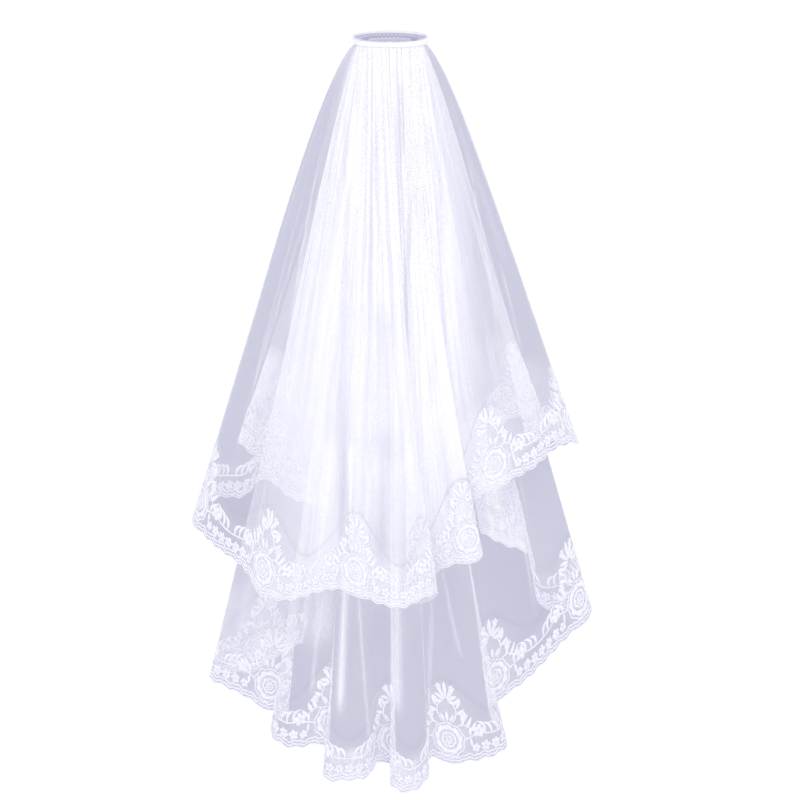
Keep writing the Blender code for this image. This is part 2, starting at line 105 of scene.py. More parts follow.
Fold = namedtuple("Fold", "name x y drop flare body")
# One row for each fold or turn of a hem. x is to the right and y towards the front, drop is the hem's depth
# below the band's top, flare says how the cloth spreads, and body is the level down to which its gathers
# stay close and white.
UPPER_HEM = [Fold(*row) for row in (
    ("free edge, front left", -80, 128, 527, 1.00, 0.10),
    ("front left", -125, 118, 514, 0.85, 0.10),
    ("front left back fold", -181, 102, 494, 0.78, 0.10),
    ("front left return", -128, 86, 540, 0.80, 0.10),
    ("left inner fold", -76, 70, 570, 0.84, 0.10),
    ("left inner wave", -117, 54, 561, 0.84, 0.10),
    ("left rise", -150, 39, 530, 0.84, 0.10),
    ("left dip", -173, 28, 555, 0.78, 0.10),
    ("left shoulder", -203, 12, 552, 0.74, 0.10),
    ("left tip", -234, -10, 568, 0.72, 0.10),
    ("back left", -208, -52, 603, 0.77, 0.12),
    ("back left wave", -175, -74, 624, 0.92, 0.30),
    ("back left crest", -152, -100, 654, 1.00, 0.55),
    ("back left flute", -119, -116, 659, 1.10, 0.72),
    ("back left valley", -79, -104, 648, 1.20, 0.80),
    ("back flute", -56, -118, 645, 1.25, 0.84),
    ("back middle", -22, -136, 657, 1.25, 0.88),
    ("back middle flute", 14, -142, 665, 1.25, 0.90),
    ("back middle right", 40, -136, 652, 1.25, 0.90),
    ("right pleat edge", 58, -124, 648, 1.25, 0.90),
    ("right pleat inside", 18, -106, 668, 1.25, 0.94),
    ("right pleat return", 68, -92, 621, 1.25, 1.04),
    ("right pleat outer edge", 111, -80, 611, 1.30, 1.02),
    ("back right inner fold", 80, -64, 574, 1.20, 0.90),
    ("back right", 125, -54, 531, 1.05, 0.55),
    ("right rise", 163, -42, 515, 0.95, 0.20),
    ("right shoulder", 199, -24, 488, 0.78, 0.05),
    ("right tip", 225, 2, 484, 0.72, 0.10),
    ("right return", 200, 34, 489, 0.76, 0.10),
    ("right inner fold", 158, 54, 488, 0.95, 0.10),
    ("front right back fold", 187, 78, 467, 0.86, 0.10),
    ("front right", 150, 100, 468, 0.95, 0.10),
    ("free edge, front right", 122, 114, 486, 1.00, 0.10),
)]
LOWER_HEM = [Fold(*row) for row in (
    ("free edge, front left", -103, 44, 731, 1.00, 0.60),
    ("front left", -132, 31, 745, 0.90, 0.62),
    ("front left rise", -162, 13, 760, 0.86, 0.64),
    ("left tip", -217, -10, 766, 0.80, 0.66),
    ("back left", -178, -24, 784, 0.86, 0.68),
    ("back left wave", -142, -30, 801, 0.95, 0.70),
    ("first inner fold", -118, -36, 801, 1.05, 0.72),
    ("first flute, left edge", -145, -46, 824, 1.05, 0.72),
    ("first flute", -118, -56, 846, 1.08, 0.74),
    ("first flute, right edge", -72, -58, 837, 1.12, 0.78),
    ("second flute, left edge", -81, -68, 879, 1.15, 0.80),
    ("second flute", -52, -76, 881, 1.20, 0.80),
    ("second flute, right edge", -24, -70, 876, 1.20, 0.80),
    ("middle valley", -18, -54, 863, 1.20, 0.80),
    ("third inner fold", 10, -50, 867, 1.20, 0.82),
    ("third flute, left edge", -2, -64, 883, 1.20, 0.82),
    ("third flute", 24, -76, 896, 1.20, 0.82),
    ("third flute, right edge", 48, -68, 873, 1.25, 0.80),
    ("right valley", 44, -54, 857, 1.30, 0.78),
    ("fourth flute", 84, -50, 863, 1.45, 0.76),
    ("fourth flute, right edge", 140, -44, 845, 1.65, 0.80),
    ("back right inner fold", 116, -26, 801, 1.30, 0.80),
    ("back right", 155, -14, 775, 1.05, 0.66),
    ("right swing", 205, -4, 725, 0.88, 0.36),
    ("right tip", 241, 10, 685, 0.80, 0.26),
    ("right return", 176, 25, 684, 0.86, 0.40),
    ("right rise", 168, 33, 624, 0.92, 0.56),
    ("front right", 138, 43, 616, 0.96, 0.68),
    ("free edge, front right", 107, 52, 600, 1.00, 0.68),
)]

Crease = namedtuple("Crease", "name column foot_column start end width height white")
# One row for each crease that a hand would set in the net. It runs from a column at the level of its start
# to another at its end. width is in columns, height is in millimetres out of the cloth, and white is added
# to the gathers: on a ridge it is closer net and a painted highlight, and below 0, in a groove or hollow,
# it is painted shade. One of no height only shows where the lace's net is worked closer.
UPPER_CREASES = [Crease(*row) for row in (
    ("soft groove beside the left seam", 32.5, 33.1, 0.05, 0.13, 0.35, -1.2, -0.25),
    ("fine groove, left", 30.4, 32.5, 0.13, 0.25, 0.30, -1.0, -0.20),
    ("long groove, left", 33.5, 36.2, 0.27, 0.95, 0.42, -2.2, -0.45),
    ("groove, right of middle", 47.4, 47.4, 0.08, 0.20, 0.60, -1.4, -0.20),
    ("broad hollow, right of middle", 48.8, 41.5, 0.30, 0.93, 0.90, -2.2, -0.30),
    ("short hollow, middle", 39.5, 38.6, 0.69, 0.92, 0.60, -1.6, -0.30),
    ("long ridge, right", 56.4, 50.1, 0.04, 0.58, 0.28, 1.6, 0.35),
    ("short ridge, right", 57.4, 56.6, 0.42, 0.66, 0.25, 1.4, 0.35),
    ("ridge, left of middle", 34.4, 35.4, 0.07, 0.29, 0.40, 1.2, 0.20),
    ("fine crease, left wing", 27.8, 28.9, 0.22, 0.54, 0.10, 0.8, 0.50),
    ("crease down the left wing", 27.8, 27.0, 0.36, 0.67, 0.10, 0.8, 0.35),
    ("fine crease, right wing", 62.2, 60.4, 0.29, 0.68, 0.10, 0.8, 0.35),
    ("short crease, right wing", 62.5, 62.2, 0.55, 0.74, 0.10, 0.7, 0.30),
    ("fine groove, right", 59.0, 56.4, 0.09, 0.43, 0.25, -1.1, -0.30),
    ("fine groove, far left", 28.9, 30.4, 0.12, 0.35, 0.22, -0.9, -0.20),
    ("fine ridge, far left", 27.4, 29.9, 0.11, 0.45, 0.22, 0.9, 0.15),
    ("broad ridge, middle", 44.5, 41.0, 0.09, 0.68, 0.70, 1.5, 0.20),
    ("fine groove, far right", 56.0, 55.2, 0.34, 0.64, 0.22, -1.0, -0.30),
    ("thin ridge beside the long groove", 36.0, 36.4, 0.74, 0.91, 0.12, 0.8, 0.50),
    ("thin ridge, middle", 37.8, 37.6, 0.77, 0.90, 0.14, 0.8, 0.35),
    ("soft hollow, middle", 40.5, 40.0, 0.48, 0.74, 4.6, -1.0, -0.26),
    ("close lace, front left", 4.5, 4.5, 0.78, 1.06, 4.0, 0.0, 0.56),
    ("close lace, left inner folds", 14.0, 14.0, 0.78, 1.06, 3.5, 0.0, 0.50),
    ("close lace, back right", 57.5, 57.5, 0.82, 1.06, 3.0, 0.0, 0.26),
    ("close lace, front right", 71.0, 71.0, 0.80, 1.06, 4.5, 0.0, 0.36),
    ("crease by the slit, left", 1.8, 2.2, 0.10, 0.80, 0.25, 1.3, 0.20),
    ("front hollow, left", 4.6, 4.2, 0.18, 0.92, 0.60, -1.6, -0.10),
    ("front ridge, left", 8.6, 8.1, 0.08, 0.70, 0.35, 1.5, 0.20),
    ("fine front crease, left", 11.2, 11.8, 0.30, 0.85, 0.12, 0.8, 0.30),
    ("side groove, left", 14.4, 14.1, 0.12, 0.66, 0.40, -1.5, -0.10),
    ("side ridge, left", 17.2, 16.6, 0.06, 0.48, 0.30, 1.2, 0.15),
    ("fine side crease, left", 20.9, 21.4, 0.35, 0.90, 0.10, 0.8, 0.30),
    ("side ridge, right", 67.6, 66.9, 0.10, 0.55, 0.30, 1.3, 0.15),
    ("fine side crease, right", 69.4, 70.0, 0.28, 0.83, 0.10, 0.8, 0.30),
    ("front hollow, right", 71.6, 71.2, 0.15, 0.90, 0.55, -1.5, -0.10),
    ("front ridge, right", 73.3, 73.6, 0.09, 0.62, 0.30, 1.4, 0.20),
)]
LOWER_CREASES = [Crease(*row) for row in (
    ("edge of the close gathers, left", 15.5, 15.9, 0.65, 0.83, 0.14, 0.8, 0.50),
    ("wide ridge, left", 16.1, 16.9, 0.57, 0.85, 1.10, 1.8, 0.45),
    ("first fine crease", 16.9, 16.8, 0.79, 0.92, 0.12, 0.7, 0.30),
    ("second fine crease", 19.9, 17.6, 0.75, 0.92, 0.12, 0.7, 0.30),
    ("bright ridge, left of middle", 20.9, 21.2, 0.70, 0.90, 0.32, 1.2, 0.60),
    ("crease running in", 22.2, 23.9, 0.72, 0.95, 0.14, 0.8, 0.35),
    ("ridge down the middle", 28.9, 29.0, 0.70, 0.89, 0.45, 1.5, 0.60),
    ("crease, right of middle", 34.4, 33.1, 0.72, 0.96, 0.14, 0.8, 0.30),
    ("crease running out", 35.1, 35.8, 0.72, 0.85, 0.12, 0.7, 0.30),
    ("long crease, right", 38.1, 38.0, 0.68, 0.88, 0.12, 0.8, 0.30),
    ("close lace, front right", 60.0, 60.0, 0.86, 1.06, 3.6, 0.0, 0.78),
    ("close lace, front left", 3.5, 3.5, 0.86, 1.06, 4.5, 0.0, 0.20),
    ("close lace, second flute", 22.5, 22.5, 0.96, 1.06, 2.4, 0.0, 0.34),
    ("close lace, third flute", 29.5, 29.5, 0.96, 1.06, 2.6, 0.0, 0.34),
    ("crease by the slit, left", 1.3, 1.1, 0.12, 0.86, 0.25, 1.3, 0.20),
    ("front hollow, left", 2.9, 3.2, 0.22, 0.90, 0.50, -1.5, -0.10),
    ("front ridge, left", 5.0, 4.7, 0.08, 0.72, 0.30, 1.3, 0.20),
    ("fine side crease, left", 7.8, 8.4, 0.34, 0.93, 0.10, 0.8, 0.30),
    ("side groove, left", 10.6, 10.9, 0.15, 0.60, 0.35, -1.3, -0.10),
    ("side ridge, right", 42.8, 43.3, 0.12, 0.64, 0.30, 1.2, 0.15),
    ("fine side crease, right", 46.9, 46.3, 0.40, 0.92, 0.10, 0.8, 0.30),
    ("side groove, right", 51.6, 52.1, 0.20, 0.74, 0.40, -1.3, -0.10),
    ("fine front crease, right", 55.0, 54.5, 0.36, 0.84, 0.12, 0.8, 0.30),
    ("front hollow, right", 57.9, 58.3, 0.16, 0.88, 0.50, -1.5, -0.10),
    ("crease by the slit, right", 60.6, 60.3, 0.10, 0.75, 0.25, 1.2, 0.20),
)]

Tier = namedtuple("Tier", "name semi_x semi_y columns turns hem creases phase fall haze")
Hem = namedtuple("Hem", "column x y base_x base_y drop flare body arc")

# ---------------------------------------------------------------- the draped surface


def smooth(knots, values, at):
    """The cubic curve through values at knots. Its slope at a knot is the mean slope of its two
    neighbours."""
    slopes = np.gradient(values, knots)
    i = np.clip(np.searchsorted(knots, at, side="right") - 1, 0, len(knots) - 2)
    span = knots[i + 1] - knots[i]
    f = (at - knots[i]) / span
    start = (1 + 2 * f) * (1 - f) ** 2 * values[i] + f * (1 - f) ** 2 * span * slopes[i]
    end = f**2 * (3 - 2 * f) * values[i + 1] - f**2 * (1 - f) * span * slopes[i + 1]
    return start + end


def averaged(values, width):
    """Values of the hem averaged over the columns near each one, with bell-shaped weights of this width.
    Past an end they run on, turned about it by half a turn."""
    reach = int(3 * width * SAMPLES)
    weights = np.exp(-0.5 * (np.arange(-reach, reach + 1) / (width * SAMPLES)) ** 2)
    before = 2 * values[0] - values[reach:0:-1]
    after = 2 * values[-1] - values[-2 : -reach - 2 : -1]
    return np.convolve(np.concatenate([before, values, after]), weights / weights.sum(), "valid")


def lengths_along(points):
    """Length from the first point of each line to all of its points."""
    steps = np.linalg.norm(np.diff(points, axis=-2), axis=-1)
    return np.concatenate([np.zeros((*steps.shape[:-1], 1)), np.cumsum(steps, axis=-1)], axis=-1)


def make_tier(name, inset, table, creases, phase, fall, haze):
    """One tier, gathered on the band's outer oval less inset. Its hem is sampled finely, with its folds and
    as the base line that they swing about."""
    rows = np.array([fold[1:] for fold in table], float)
    steps = np.linalg.norm(np.diff(rows[:, :3], axis=0), axis=1)
    knots = np.concatenate([[0], np.cumsum(np.maximum(1, np.round(steps / COLUMN)))])
    columns = int(knots[-1])
    column = np.linspace(0, columns, columns * SAMPLES + 1)
    x, y, drop, flare, body = (averaged(smooth(knots, rows[:, k], column), FOLD_ROUNDING) for k in range(5))
    arc = lengths_along(np.column_stack([x, y, drop]))
    hem = Hem(column, x, y, averaged(x, FOLD_WIDTH), averaged(y, FOLD_WIDTH), drop, flare, body, arc)
    names = [fold.name for fold in table]
    tips = [knots[names.index(tip)] for tip in ("left tip", "right tip")]
    turns = ((0, *tips, columns), (FREE_EDGE_TURNS[0], *TIP_TURNS, FREE_EDGE_TURNS[1]))
    semi_x, semi_y = BAND_WIDTH / 2 - inset, BAND_DEPTH / 2 - inset
    return Tier(name, semi_x, semi_y, columns, turns, hem, creases, phase, fall, haze)


def at_column(tier, column, *names):
    """The hem's values of these names at a column."""
    return [np.interp(column, tier.hem.column, getattr(tier.hem, name)) for name in names]


def ring_of(tier, column):
    """Where a column leaves the band: a point of the tier's oval."""
    angle = np.radians(np.interp(column, *tier.turns))
    return tier.semi_x * np.cos(angle), tier.semi_y * np.sin(angle)


def drape(tier, column, level):
    """The cloth without its pleats: the ring's point moved towards the hem's base line by the fall to the
    power of the flare, with the hem's folds added by the fall to a power of their own."""
    hem_x, hem_y, drop, flare = at_column(tier, column, "x", "y", "drop", "flare")
    base_x, base_y = at_column(tier, column, "base_x", "base_y")
    ring_x, ring_y = ring_of(tier, column)
    neck = (NECK - TOP) / (drop - TOP)
    fall = np.clip((level - neck) / (1 - neck), 0, None)
    spread, fold = fall**flare, fall**FOLD_GROWTH
    x = ring_x + (base_x - ring_x) * spread + (hem_x - base_x) * fold
    y = ring_y + (base_y - ring_y) * spread + (hem_y - base_y) * fold
    return np.stack([x, y, -TOP - (drop - TOP) * level], -1)


def cloth(tier, column, level):
    """The middle of the cloth: its drape, moved sideways by pleats. A pleat is a cosine of the column, and
    its depth varies from one to the next by two slow sines, as hand gathering does."""
    along = drape(tier, column + 0.5, level) - drape(tier, column - 0.5, level)
    width = np.hypot(along[..., 0], along[..., 1])
    uneven = 1 + 0.28 * np.sin(0.93 * column + tier.phase) + 0.22 * np.sin(2.31 * column + 2 * tier.phase)
    uneven = 1 + (uneven - 1) * np.clip((level - 0.03) / 0.1, 0, 1)
    depth = np.minimum(np.interp(level, PLEAT_LEVELS, PLEAT_DEPTHS), width * PLEAT_STEEPNESS) * uneven
    pleat = depth * 1.25 * np.cos(pi * column - pi / 4) / width
    side = np.stack([along[..., 1], -along[..., 0], np.zeros_like(width)], -1)
    return drape(tier, column, level) + side * pleat[..., None]


def unit(vectors):
    return vectors / np.maximum(np.linalg.norm(vectors, axis=-1, keepdims=True), 1e-9)


def creased(tier, column, level):
    """The cloth with its creases, moved out and in along the way out of the drape."""
    along = drape(tier, column + 0.3, level) - drape(tier, column - 0.3, level)
    side = unit(np.stack([along[..., 1], -along[..., 0], np.zeros_like(along[..., 0])], -1))
    return cloth(tier, column, level) + side * creases_at(tier, column, level, "height")[..., None]


def outward(tier, column, level, step=0.12, rise=0.004):
    """The way out of the veil's hollow, square to the cloth."""
    low, high = np.maximum(column - step, 0), np.minimum(column + step, tier.columns)
    along = creased(tier, high, level) - creased(tier, low, level)
    down = creased(tier, column, level + rise) - creased(tier, column, level - rise)
    return unit(np.cross(down, along))


def level_above_hem(tier, column, height):
    """The level that lies height above the hem, measured on the cloth."""
    hem_x, hem_y, drop, flare = at_column(tier, column, "x", "y", "drop", "flare")
    ring_x, ring_y = ring_of(tier, column)
    slope = flare * np.hypot(hem_x - ring_x, hem_y - ring_y)
    return 1 - height / np.hypot(drop, slope)


def repeats_of(tier):
    """How many roses a tier's edging has, and the length of hem from one to the next."""
    length = tier.hem.arc[-1]
    count = round(length / REPEAT)
    return count, length / count


def lace_top(tier, along):
    """Height of the edging at a length along the hem: a peak over each rose and a valley between two."""
    _, repeat = repeats_of(tier)
    return LACE_VALLEY + (LACE_PEAK - LACE_VALLEY) * (0.5 + 0.5 * np.cos(2 * pi * (along / repeat - 0.5)))


def hem_line(tier, along):
    """Height of the scalloped edge: one large scallop under each rose, and small ones between two."""
    _, repeat = repeats_of(tier)
    x = np.abs((along / repeat) % 1 - 0.5) * repeat
    large = SCALLOP_CREST - (SCALLOP_DROP + SCALLOP_CREST) * np.cos(pi * x / SCALLOP_WIDTH)
    width = (repeat - SCALLOP_WIDTH) / SMALL_SCALLOPS
    half = (SMALL_SCALLOP_DROP + SCALLOP_CREST) / 2
    small = SCALLOP_CREST - half + half * np.cos(2 * pi * (x - SCALLOP_WIDTH / 2) / width)
    return np.where(x < SCALLOP_WIDTH / 2, large, small)


def creases_at(tier, column, level, part):
    """The sum of the tier's creases: each one's height or white, times a bell curve of the distance from
    its line in widths, times a smooth rise and fall at its ends."""
    total = np.zeros(np.broadcast_shapes(np.shape(column), np.shape(level)))
    for crease in tier.creases:
        share = (level - crease.start) / (crease.end - crease.start)
        line = crease.column + (crease.foot_column - crease.column) * np.clip(share, 0, 1)
        ends = np.clip(share / CREASE_FADE + 0.5, 0, 1) * np.clip((1 - share) / CREASE_FADE + 0.5, 0, 1)
        ends = ends * ends * (3 - 2 * ends)
        total += getattr(crease, part) * ends * np.exp(-(((column - line) / crease.width) ** 2))
    return total


def gathers_of(tier, column, level):
    """How closely the gathers lie, from 0 where the net hangs open: a straight fall that ends at the level
    of the fold's body, a haze that stays below it, and what each crease adds or takes, which is closer net
    with a painted highlight on a ridge and painted shade in a groove or hollow."""
    (body,) = at_column(tier, column, "body")
    haze = tier.haze * np.clip((body - HAZE_BODY) / HAZE_BODY, 0, 1)
    close = haze + (1 - haze) * np.clip((body - level) / tier.fall, 0, 1)
    # a crease's white is closer net and a painted highlight on a ridge, and painted shade in a groove or
    # hollow
    return np.clip(close + creases_at(tier, column, level, "white"), 0, 1.2)


def close_ground(tier, along, height):
    """How much closer the edging's net is worked round its motifs: bell curves round each rose and up
    through its spray, along the garland and in the strip inside the cords."""
    _, repeat = repeats_of(tier)
    x = ((along / repeat) % 1 - 0.5) * REPEAT
    rose = 0.24 * np.exp(-((x / 23) ** 2) - ((height - ROSE_HEIGHT) / 22) ** 2)
    spray = 0.12 * np.exp(-((x / 24) ** 2) - ((height - 64) / 26) ** 2)
    garland = 0.10 * np.exp(-(((height - 31 + 3 * np.cos(pi * x / REPEAT)) / 9) ** 2))
    strip = 0.20 * np.exp(-(((height - 3) / 8) ** 2))
    return rose + spray + garland + strip


def on_edging(tier, flat):
    """Points of the edging, as (length along the hem, height above it, height off the cloth), laid on the
    tier."""
    column = np.interp(flat[..., 0], tier.hem.arc, tier.hem.column)
    level = level_above_hem(tier, column, flat[..., 1])
    return creased(tier, column, level) + outward(tier, column, level) * flat[..., 2:]


def seam_point(tier, column):
    """Points of the seam between tulle and edging. Both meet on the straight lines between the tulle's own
    columns."""
    steps = np.linspace(0, tier.columns, tier.columns * COLUMN_STEPS + 1)
    (along,) = at_column(tier, steps, "arc")
    seam = creased(tier, steps, level_above_hem(tier, steps, lace_top(tier, along)))
    return np.stack([np.interp(column, steps, seam[:, axis]) for axis in range(3)], -1)


def tier_inset(number):
    """How far the middle of a tier's cloth lies inside the band's outer oval, at its top."""
    return BAND_WALL + SEAM + GATHER + CAD_WALL / 2 + TIER_GAP * number


TIERS = {
    "upper": make_tier("upper", tier_inset(0), UPPER_HEM, UPPER_CREASES, 0.7, 0.58, 0.36),
    "lower": make_tier("lower", tier_inset(1), LOWER_HEM, LOWER_CREASES, 2.9, 0.42, 0.10),
}
BAND_INNER = tier_inset(1) + CAD_WALL / 2 + GATHER + SEAM + BAND_WALL  # inset of the band's inner side

# ---------------------------------------------------------------- meshes


def mesh_object(name, points, quads, uv, material, slot, gathers=None, flat=0):
    """A piece of quads, from points in millimetres measured from the middle of the band's top. It is shaded
    smooth, all but its last flat quads. It takes its finish from material, and rides on the one body. slot
    is not used."""
    mesh = bpy.data.meshes.new(name)
    points = (points.reshape(-1, 3) - SEAT) * MM
    quads = quads.reshape(-1, 4)
    mesh.vertices.add(len(points))
    mesh.vertices.foreach_set("co", points.astype(np.float32).ravel())
    mesh.loops.add(quads.size)
    mesh.loops.foreach_set("vertex_index", quads.astype(np.int32).ravel())
    mesh.polygons.add(len(quads))
    mesh.polygons.foreach_set("loop_start", np.arange(0, quads.size, 4, dtype=np.int32))
    mesh.polygons.foreach_set("use_smooth", np.arange(len(quads)) < len(quads) - flat)
    layer = mesh.uv_layers.new(name="cloth")
    layer.data.foreach_set("uv", uv.reshape(-1, 2)[quads.ravel()].astype(np.float32).ravel())
    if gathers is not None:
        layer = mesh.attributes.new("gathers", "FLOAT", "POINT")
        layer.data.foreach_set("value", gathers.astype(np.float32).ravel())
    mesh.update(calc_edges=True)
    mesh.validate()
    mesh.materials.append(material)
    made = bpy.data.objects.new(name, mesh)
    bpy.context.scene.collection.objects.link(made)
    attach(made, "root")
    return made


def shell(middle, normals, thickness):
    """A closed thin shell round a grid of points: an outer and an inner sheet, and a rim round all four
    sides, where the two sheets draw together."""
    rows, columns = middle.shape[:2]
    taper = np.full((rows, columns, 1), 0.5)
    taper[[0, -1]] = taper[:, [0, -1]] = RIM_TAPER
    half = normals * thickness * taper
    points = np.stack([middle + half, middle - half])
    number = np.arange(2 * rows * columns).reshape(2, rows, columns)
    outer, inner = number

    def band(a, b):
        return np.stack([a[:-1], a[1:], b[1:], b[:-1]], -1)

    sheet = np.stack([outer[:-1, :-1], outer[1:, :-1], outer[1:, 1:], outer[:-1, 1:]], -1).reshape(-1, 4)
    lining = np.stack([inner[:-1, :-1], inner[:-1, 1:], inner[1:, 1:], inner[1:, :-1]], -1).reshape(-1, 4)
    rims = [band(outer[0], inner[0]), band(inner[-1], outer[-1]), band(inner[:, 0], outer[:, 0]),
            band(outer[:, -1], inner[:, -1])]
    return points, np.concatenate([sheet, lining, *rims]), sum(len(rim) for rim in rims)


def net_sheet(name, tier, column, level, middle, gathers, net, slot):
    """A piece of net: a thin shell round a grid of points on the tier. Its coordinates are centimetres of
    flat cloth, across by the columns and down by the level."""
    thickness = settings()[0].net_thickness * 1000
    points, quads, rims = shell(middle, outward(tier, column, level), thickness)
    uv = np.stack([column * COLUMN / 10, level * CLOTH_DEPTH], -1)
    return mesh_object(name, points, quads, np.stack([uv, uv]), net, slot, np.stack([gathers, gathers]), rims)


CORD_SIDES = 6
TURNED = [0, 3, 2, 1]  # the corners of a quad, the other way round


def tube_quads(count, stations, sides):
    """Quads of closed tubes: their walls, and a fan over each end. They face out where the sides of a
    cross-section run anticlockwise, seen along the tube."""
    number = np.arange(count * stations * sides).reshape(count, stations, sides)
    after = np.roll(number, -1, axis=2)
    walls = np.stack([number[:, :-1], number[:, 1:], after[:, 1:], after[:, :-1]], -1).reshape(-1, 4)
    fan = [[0, i, i + 1, i + 2] for i in range(1, sides - 2, 2)]
    first, last = ([number[:, end][:, quad] for quad in fan] for end in (0, -1))
    return np.concatenate([walls, *first, *(quads[:, TURNED] for quads in last)])


def ring_quads(stations, sides):
    """Quads of a tube that runs back into itself, facing as tube_quads' do."""
    number = np.arange(stations * sides).reshape(stations, sides)
    there, after = np.roll(number, -1, axis=0), np.roll(number, -1, axis=1)
    return np.stack([number, there, np.roll(there, -1, axis=1), after], -1).reshape(-1, 4)


def tubes(paths, half_width, height):
    """Closed rounded strips of embroidery. Each path is a row of points on the edging, and its
    cross-section is an oval, half_width to each side and height up and down, round the path at the
    embroidery's lift off the cloth."""
    shape = paths.shape[:2]
    half_width, height = (np.broadcast_to(each, shape)[..., None] for each in (half_width, height))
    way = unit(np.gradient(paths, axis=1))
    across = np.stack([-way[..., 1], way[..., 0]], -1)
    turn = 2 * pi * (np.arange(CORD_SIDES) + 0.5) / CORD_SIDES
    flat = paths[:, :, None] + across[:, :, None] * (half_width * np.cos(turn))[..., None]
    rise = THREAD_LIFT + height * np.sin(turn)
    points = np.concatenate([flat, rise[..., None]], -1)
    uv = np.stack(np.broadcast_arrays(lengths_along(paths)[:, :, None], half_width * np.cos(turn)), -1)
    return points.reshape(-1, 3), tube_quads(*shape, CORD_SIDES)[:, TURNED], uv.reshape(-1, 2)


def joined(parts):
    """Several (points, quads, uv) as one."""
    starts = np.cumsum([0] + [len(points) for points, _, _ in parts])
    return (np.concatenate([points for points, _, _ in parts]),
            np.concatenate([quads + start for (_, quads, _), start in zip(parts, starts)]),
            np.concatenate([uv for _, _, uv in parts]))


# ---------------------------------------------------------------- the embroidery's charts

Leaf = namedtuple("Leaf", "s t turn length width bend")
# One row for each leaf right of a rose's middle; its mirror image lies on the left. s is the distance along
# the hem from the rose, t the height above the hem, turn the degrees from straight up, and bend how far it
# turns on its way.
LEAVES = [Leaf(*row) for row in (
    (0.0, 75, 0, 20, 7.2, 0),
    (1.5, 74, 30, 18, 6.4, 14),
    (2.5, 72, 58, 15, 5.8, 22),
    (3.5, 70, 86, 12, 5.2, 26),
    (12.0, 57, 80, 13, 5.4, -34),
    (13.0, 63, 40, 14, 5.6, -26),
    (9.0, 68, 58, 13, 5.2, -12),
    (0.0, 47, 0, 12, 5.4, 0),
    (3.0, 47, 40, 11, 5.0, 0),
    (17.0, 42, 36, 16, 5.4, -22),
    (22.0, 39, 46, 16, 5.4, -22),
    (27.0, 35, 56, 14, 5.0, -22),
    (27.0, 29, 4, 10, 4.6, 0),
    (27.0, 27, 176, 10, 4.4, 0),
    (45.0, 28.5, 30, 22, 4.4, -112),
    (53.0, 26.8, 28, 21, 4.4, -112),
    (61.0, 25.8, 24, 19, 4.2, -112),
)]
# Stems right of a rose's middle, each through its points
STEMS = (
    ((38, 33), (48, 28.5), (58, 26.3), (68.5, 25.6)),
    ((5, 45), (10, 51), (12.5, 58), (10.5, 66), (4, 73), (0, 77)),
    ((19, 26), (26, 28), (32, 30), (38, 33)),
    ((12, 42), (18, 44), (25, 41), (31, 36), (36, 34)),
)
Flower = namedtuple("Flower", "s t radius petals")
FLOWERS = [Flower(*row) for row in (
    (38.0, 33.5, 8.2, 5),
    (32.0, 14.8, 5.4, 5),
    (44.0, 15.0, 6.2, 5),
    (56.0, 14.2, 6.0, 6),
    (21.5, 54.0, 5.6, 5),
    (9.0, 87.0, 4.6, 5),
)]
MIDDLE_FLOWERS = [Flower(68.0, 14.0, 6.0, 5)]  # on the line half-way between two roses
RoseRing = namedtuple("RoseRing", "radius wave waves half_width stations")
# The rings of a rose, from outside: a scalloped cord, the round band under its halo, and a wavy ring
ROSE_RINGS = [RoseRing(*row) for row in (
    (19.8, 0.8, 9, 1.0, 81),
    (14.2, 0.0, 9, 2.5, 64),
    (8.2, 0.5, 7, 1.5, 50),
)]
HALO_PETALS = 9
HALO_FOOT = 11.6  # from the rose's middle to the petals' roots
HALO_PETAL = (6.4, 10.8)  # length and width
SPIRAL_TURN = 3.4 * pi
SPIRAL_REACH = (0.8, 4.9)
SPIRAL_STATIONS = 34
Cord = namedtuple("Cord", "height wave half_width")
# Along the hem, from below: a fine edge and two wavy cords
HEM_CORDS = (Cord(0.5, 0.0, 0.7), Cord(3.6, 0.6, 1.05), Cord(7.6, 0.6, 1.05))
CORD_WAVE = 9.0  # length of one wave
CORD_STEP = 1.3
CORD_END = 0.6  # from a cord's end to the free edge
FREE_EDGE_MARGIN = 1.5
LEAF_STATIONS = 8
HALO_STATIONS = 6
PETAL_STATIONS = 5
STEM_STATIONS = 14
FLOWER_TURN = 17  # of the first petal, to the right or the left
KNOT_RADIUS = 0.9  # of the knot in a small flower, where its petals start
KNOT_WIDTHS = (0.5, 1.0, 0.5)
# How blunt the leaves and petals are, and half the width and height of each kind of stitched strip
LEAF_BLUNT, PETAL_BLUNT, HALO_BLUNT = 0.8, 0.45, 0.34
LEAF_HEIGHT = (0.42, 0.75, 0.12)  # share of its half width, but at most this much, and this much more
PETAL_HEIGHT, KNOT_HEIGHT, HALO_HEIGHT, RING_HEIGHT = 0.45, 0.8, 0.5, 0.6
STEM_STRIP, SPIRAL_STRIP = (1.05, 0.65), (1.15, 0.75)
THREAD_LIFT = 0.25  # middle of the embroidery above the middle of the net


def bearing(angle):
    """Directions on the edging, as (along the hem, up), of angles in radians from straight up."""
    return np.stack([np.sin(angle), np.cos(angle)], -1)


def leaf_shape(roots, turns, lengths, widths, bends, stations, blunt):
    """Paths and half widths of leaves. A leaf's path turns evenly by its bend, and its width is a power of
    a sine of the share of its length, so a small power makes a blunt petal."""
    given = (turns, lengths, widths, bends)
    turns, lengths, widths, bends = (np.broadcast_to(each, len(roots))[:, None] for each in given)
    share = np.linspace(0, 1, stations)
    angle = np.radians(turns + bends * share)
    step = lengths / (stations - 1)
    moves = bearing((angle[:, 1:] + angle[:, :-1]) / 2) * step[..., None]
    paths = np.concatenate([roots[:, None], roots[:, None] + np.cumsum(moves, axis=1)], axis=1)
    across = widths / 2 * np.sin(pi * np.clip(share, 0.04, 0.96)) ** blunt
    return paths, across


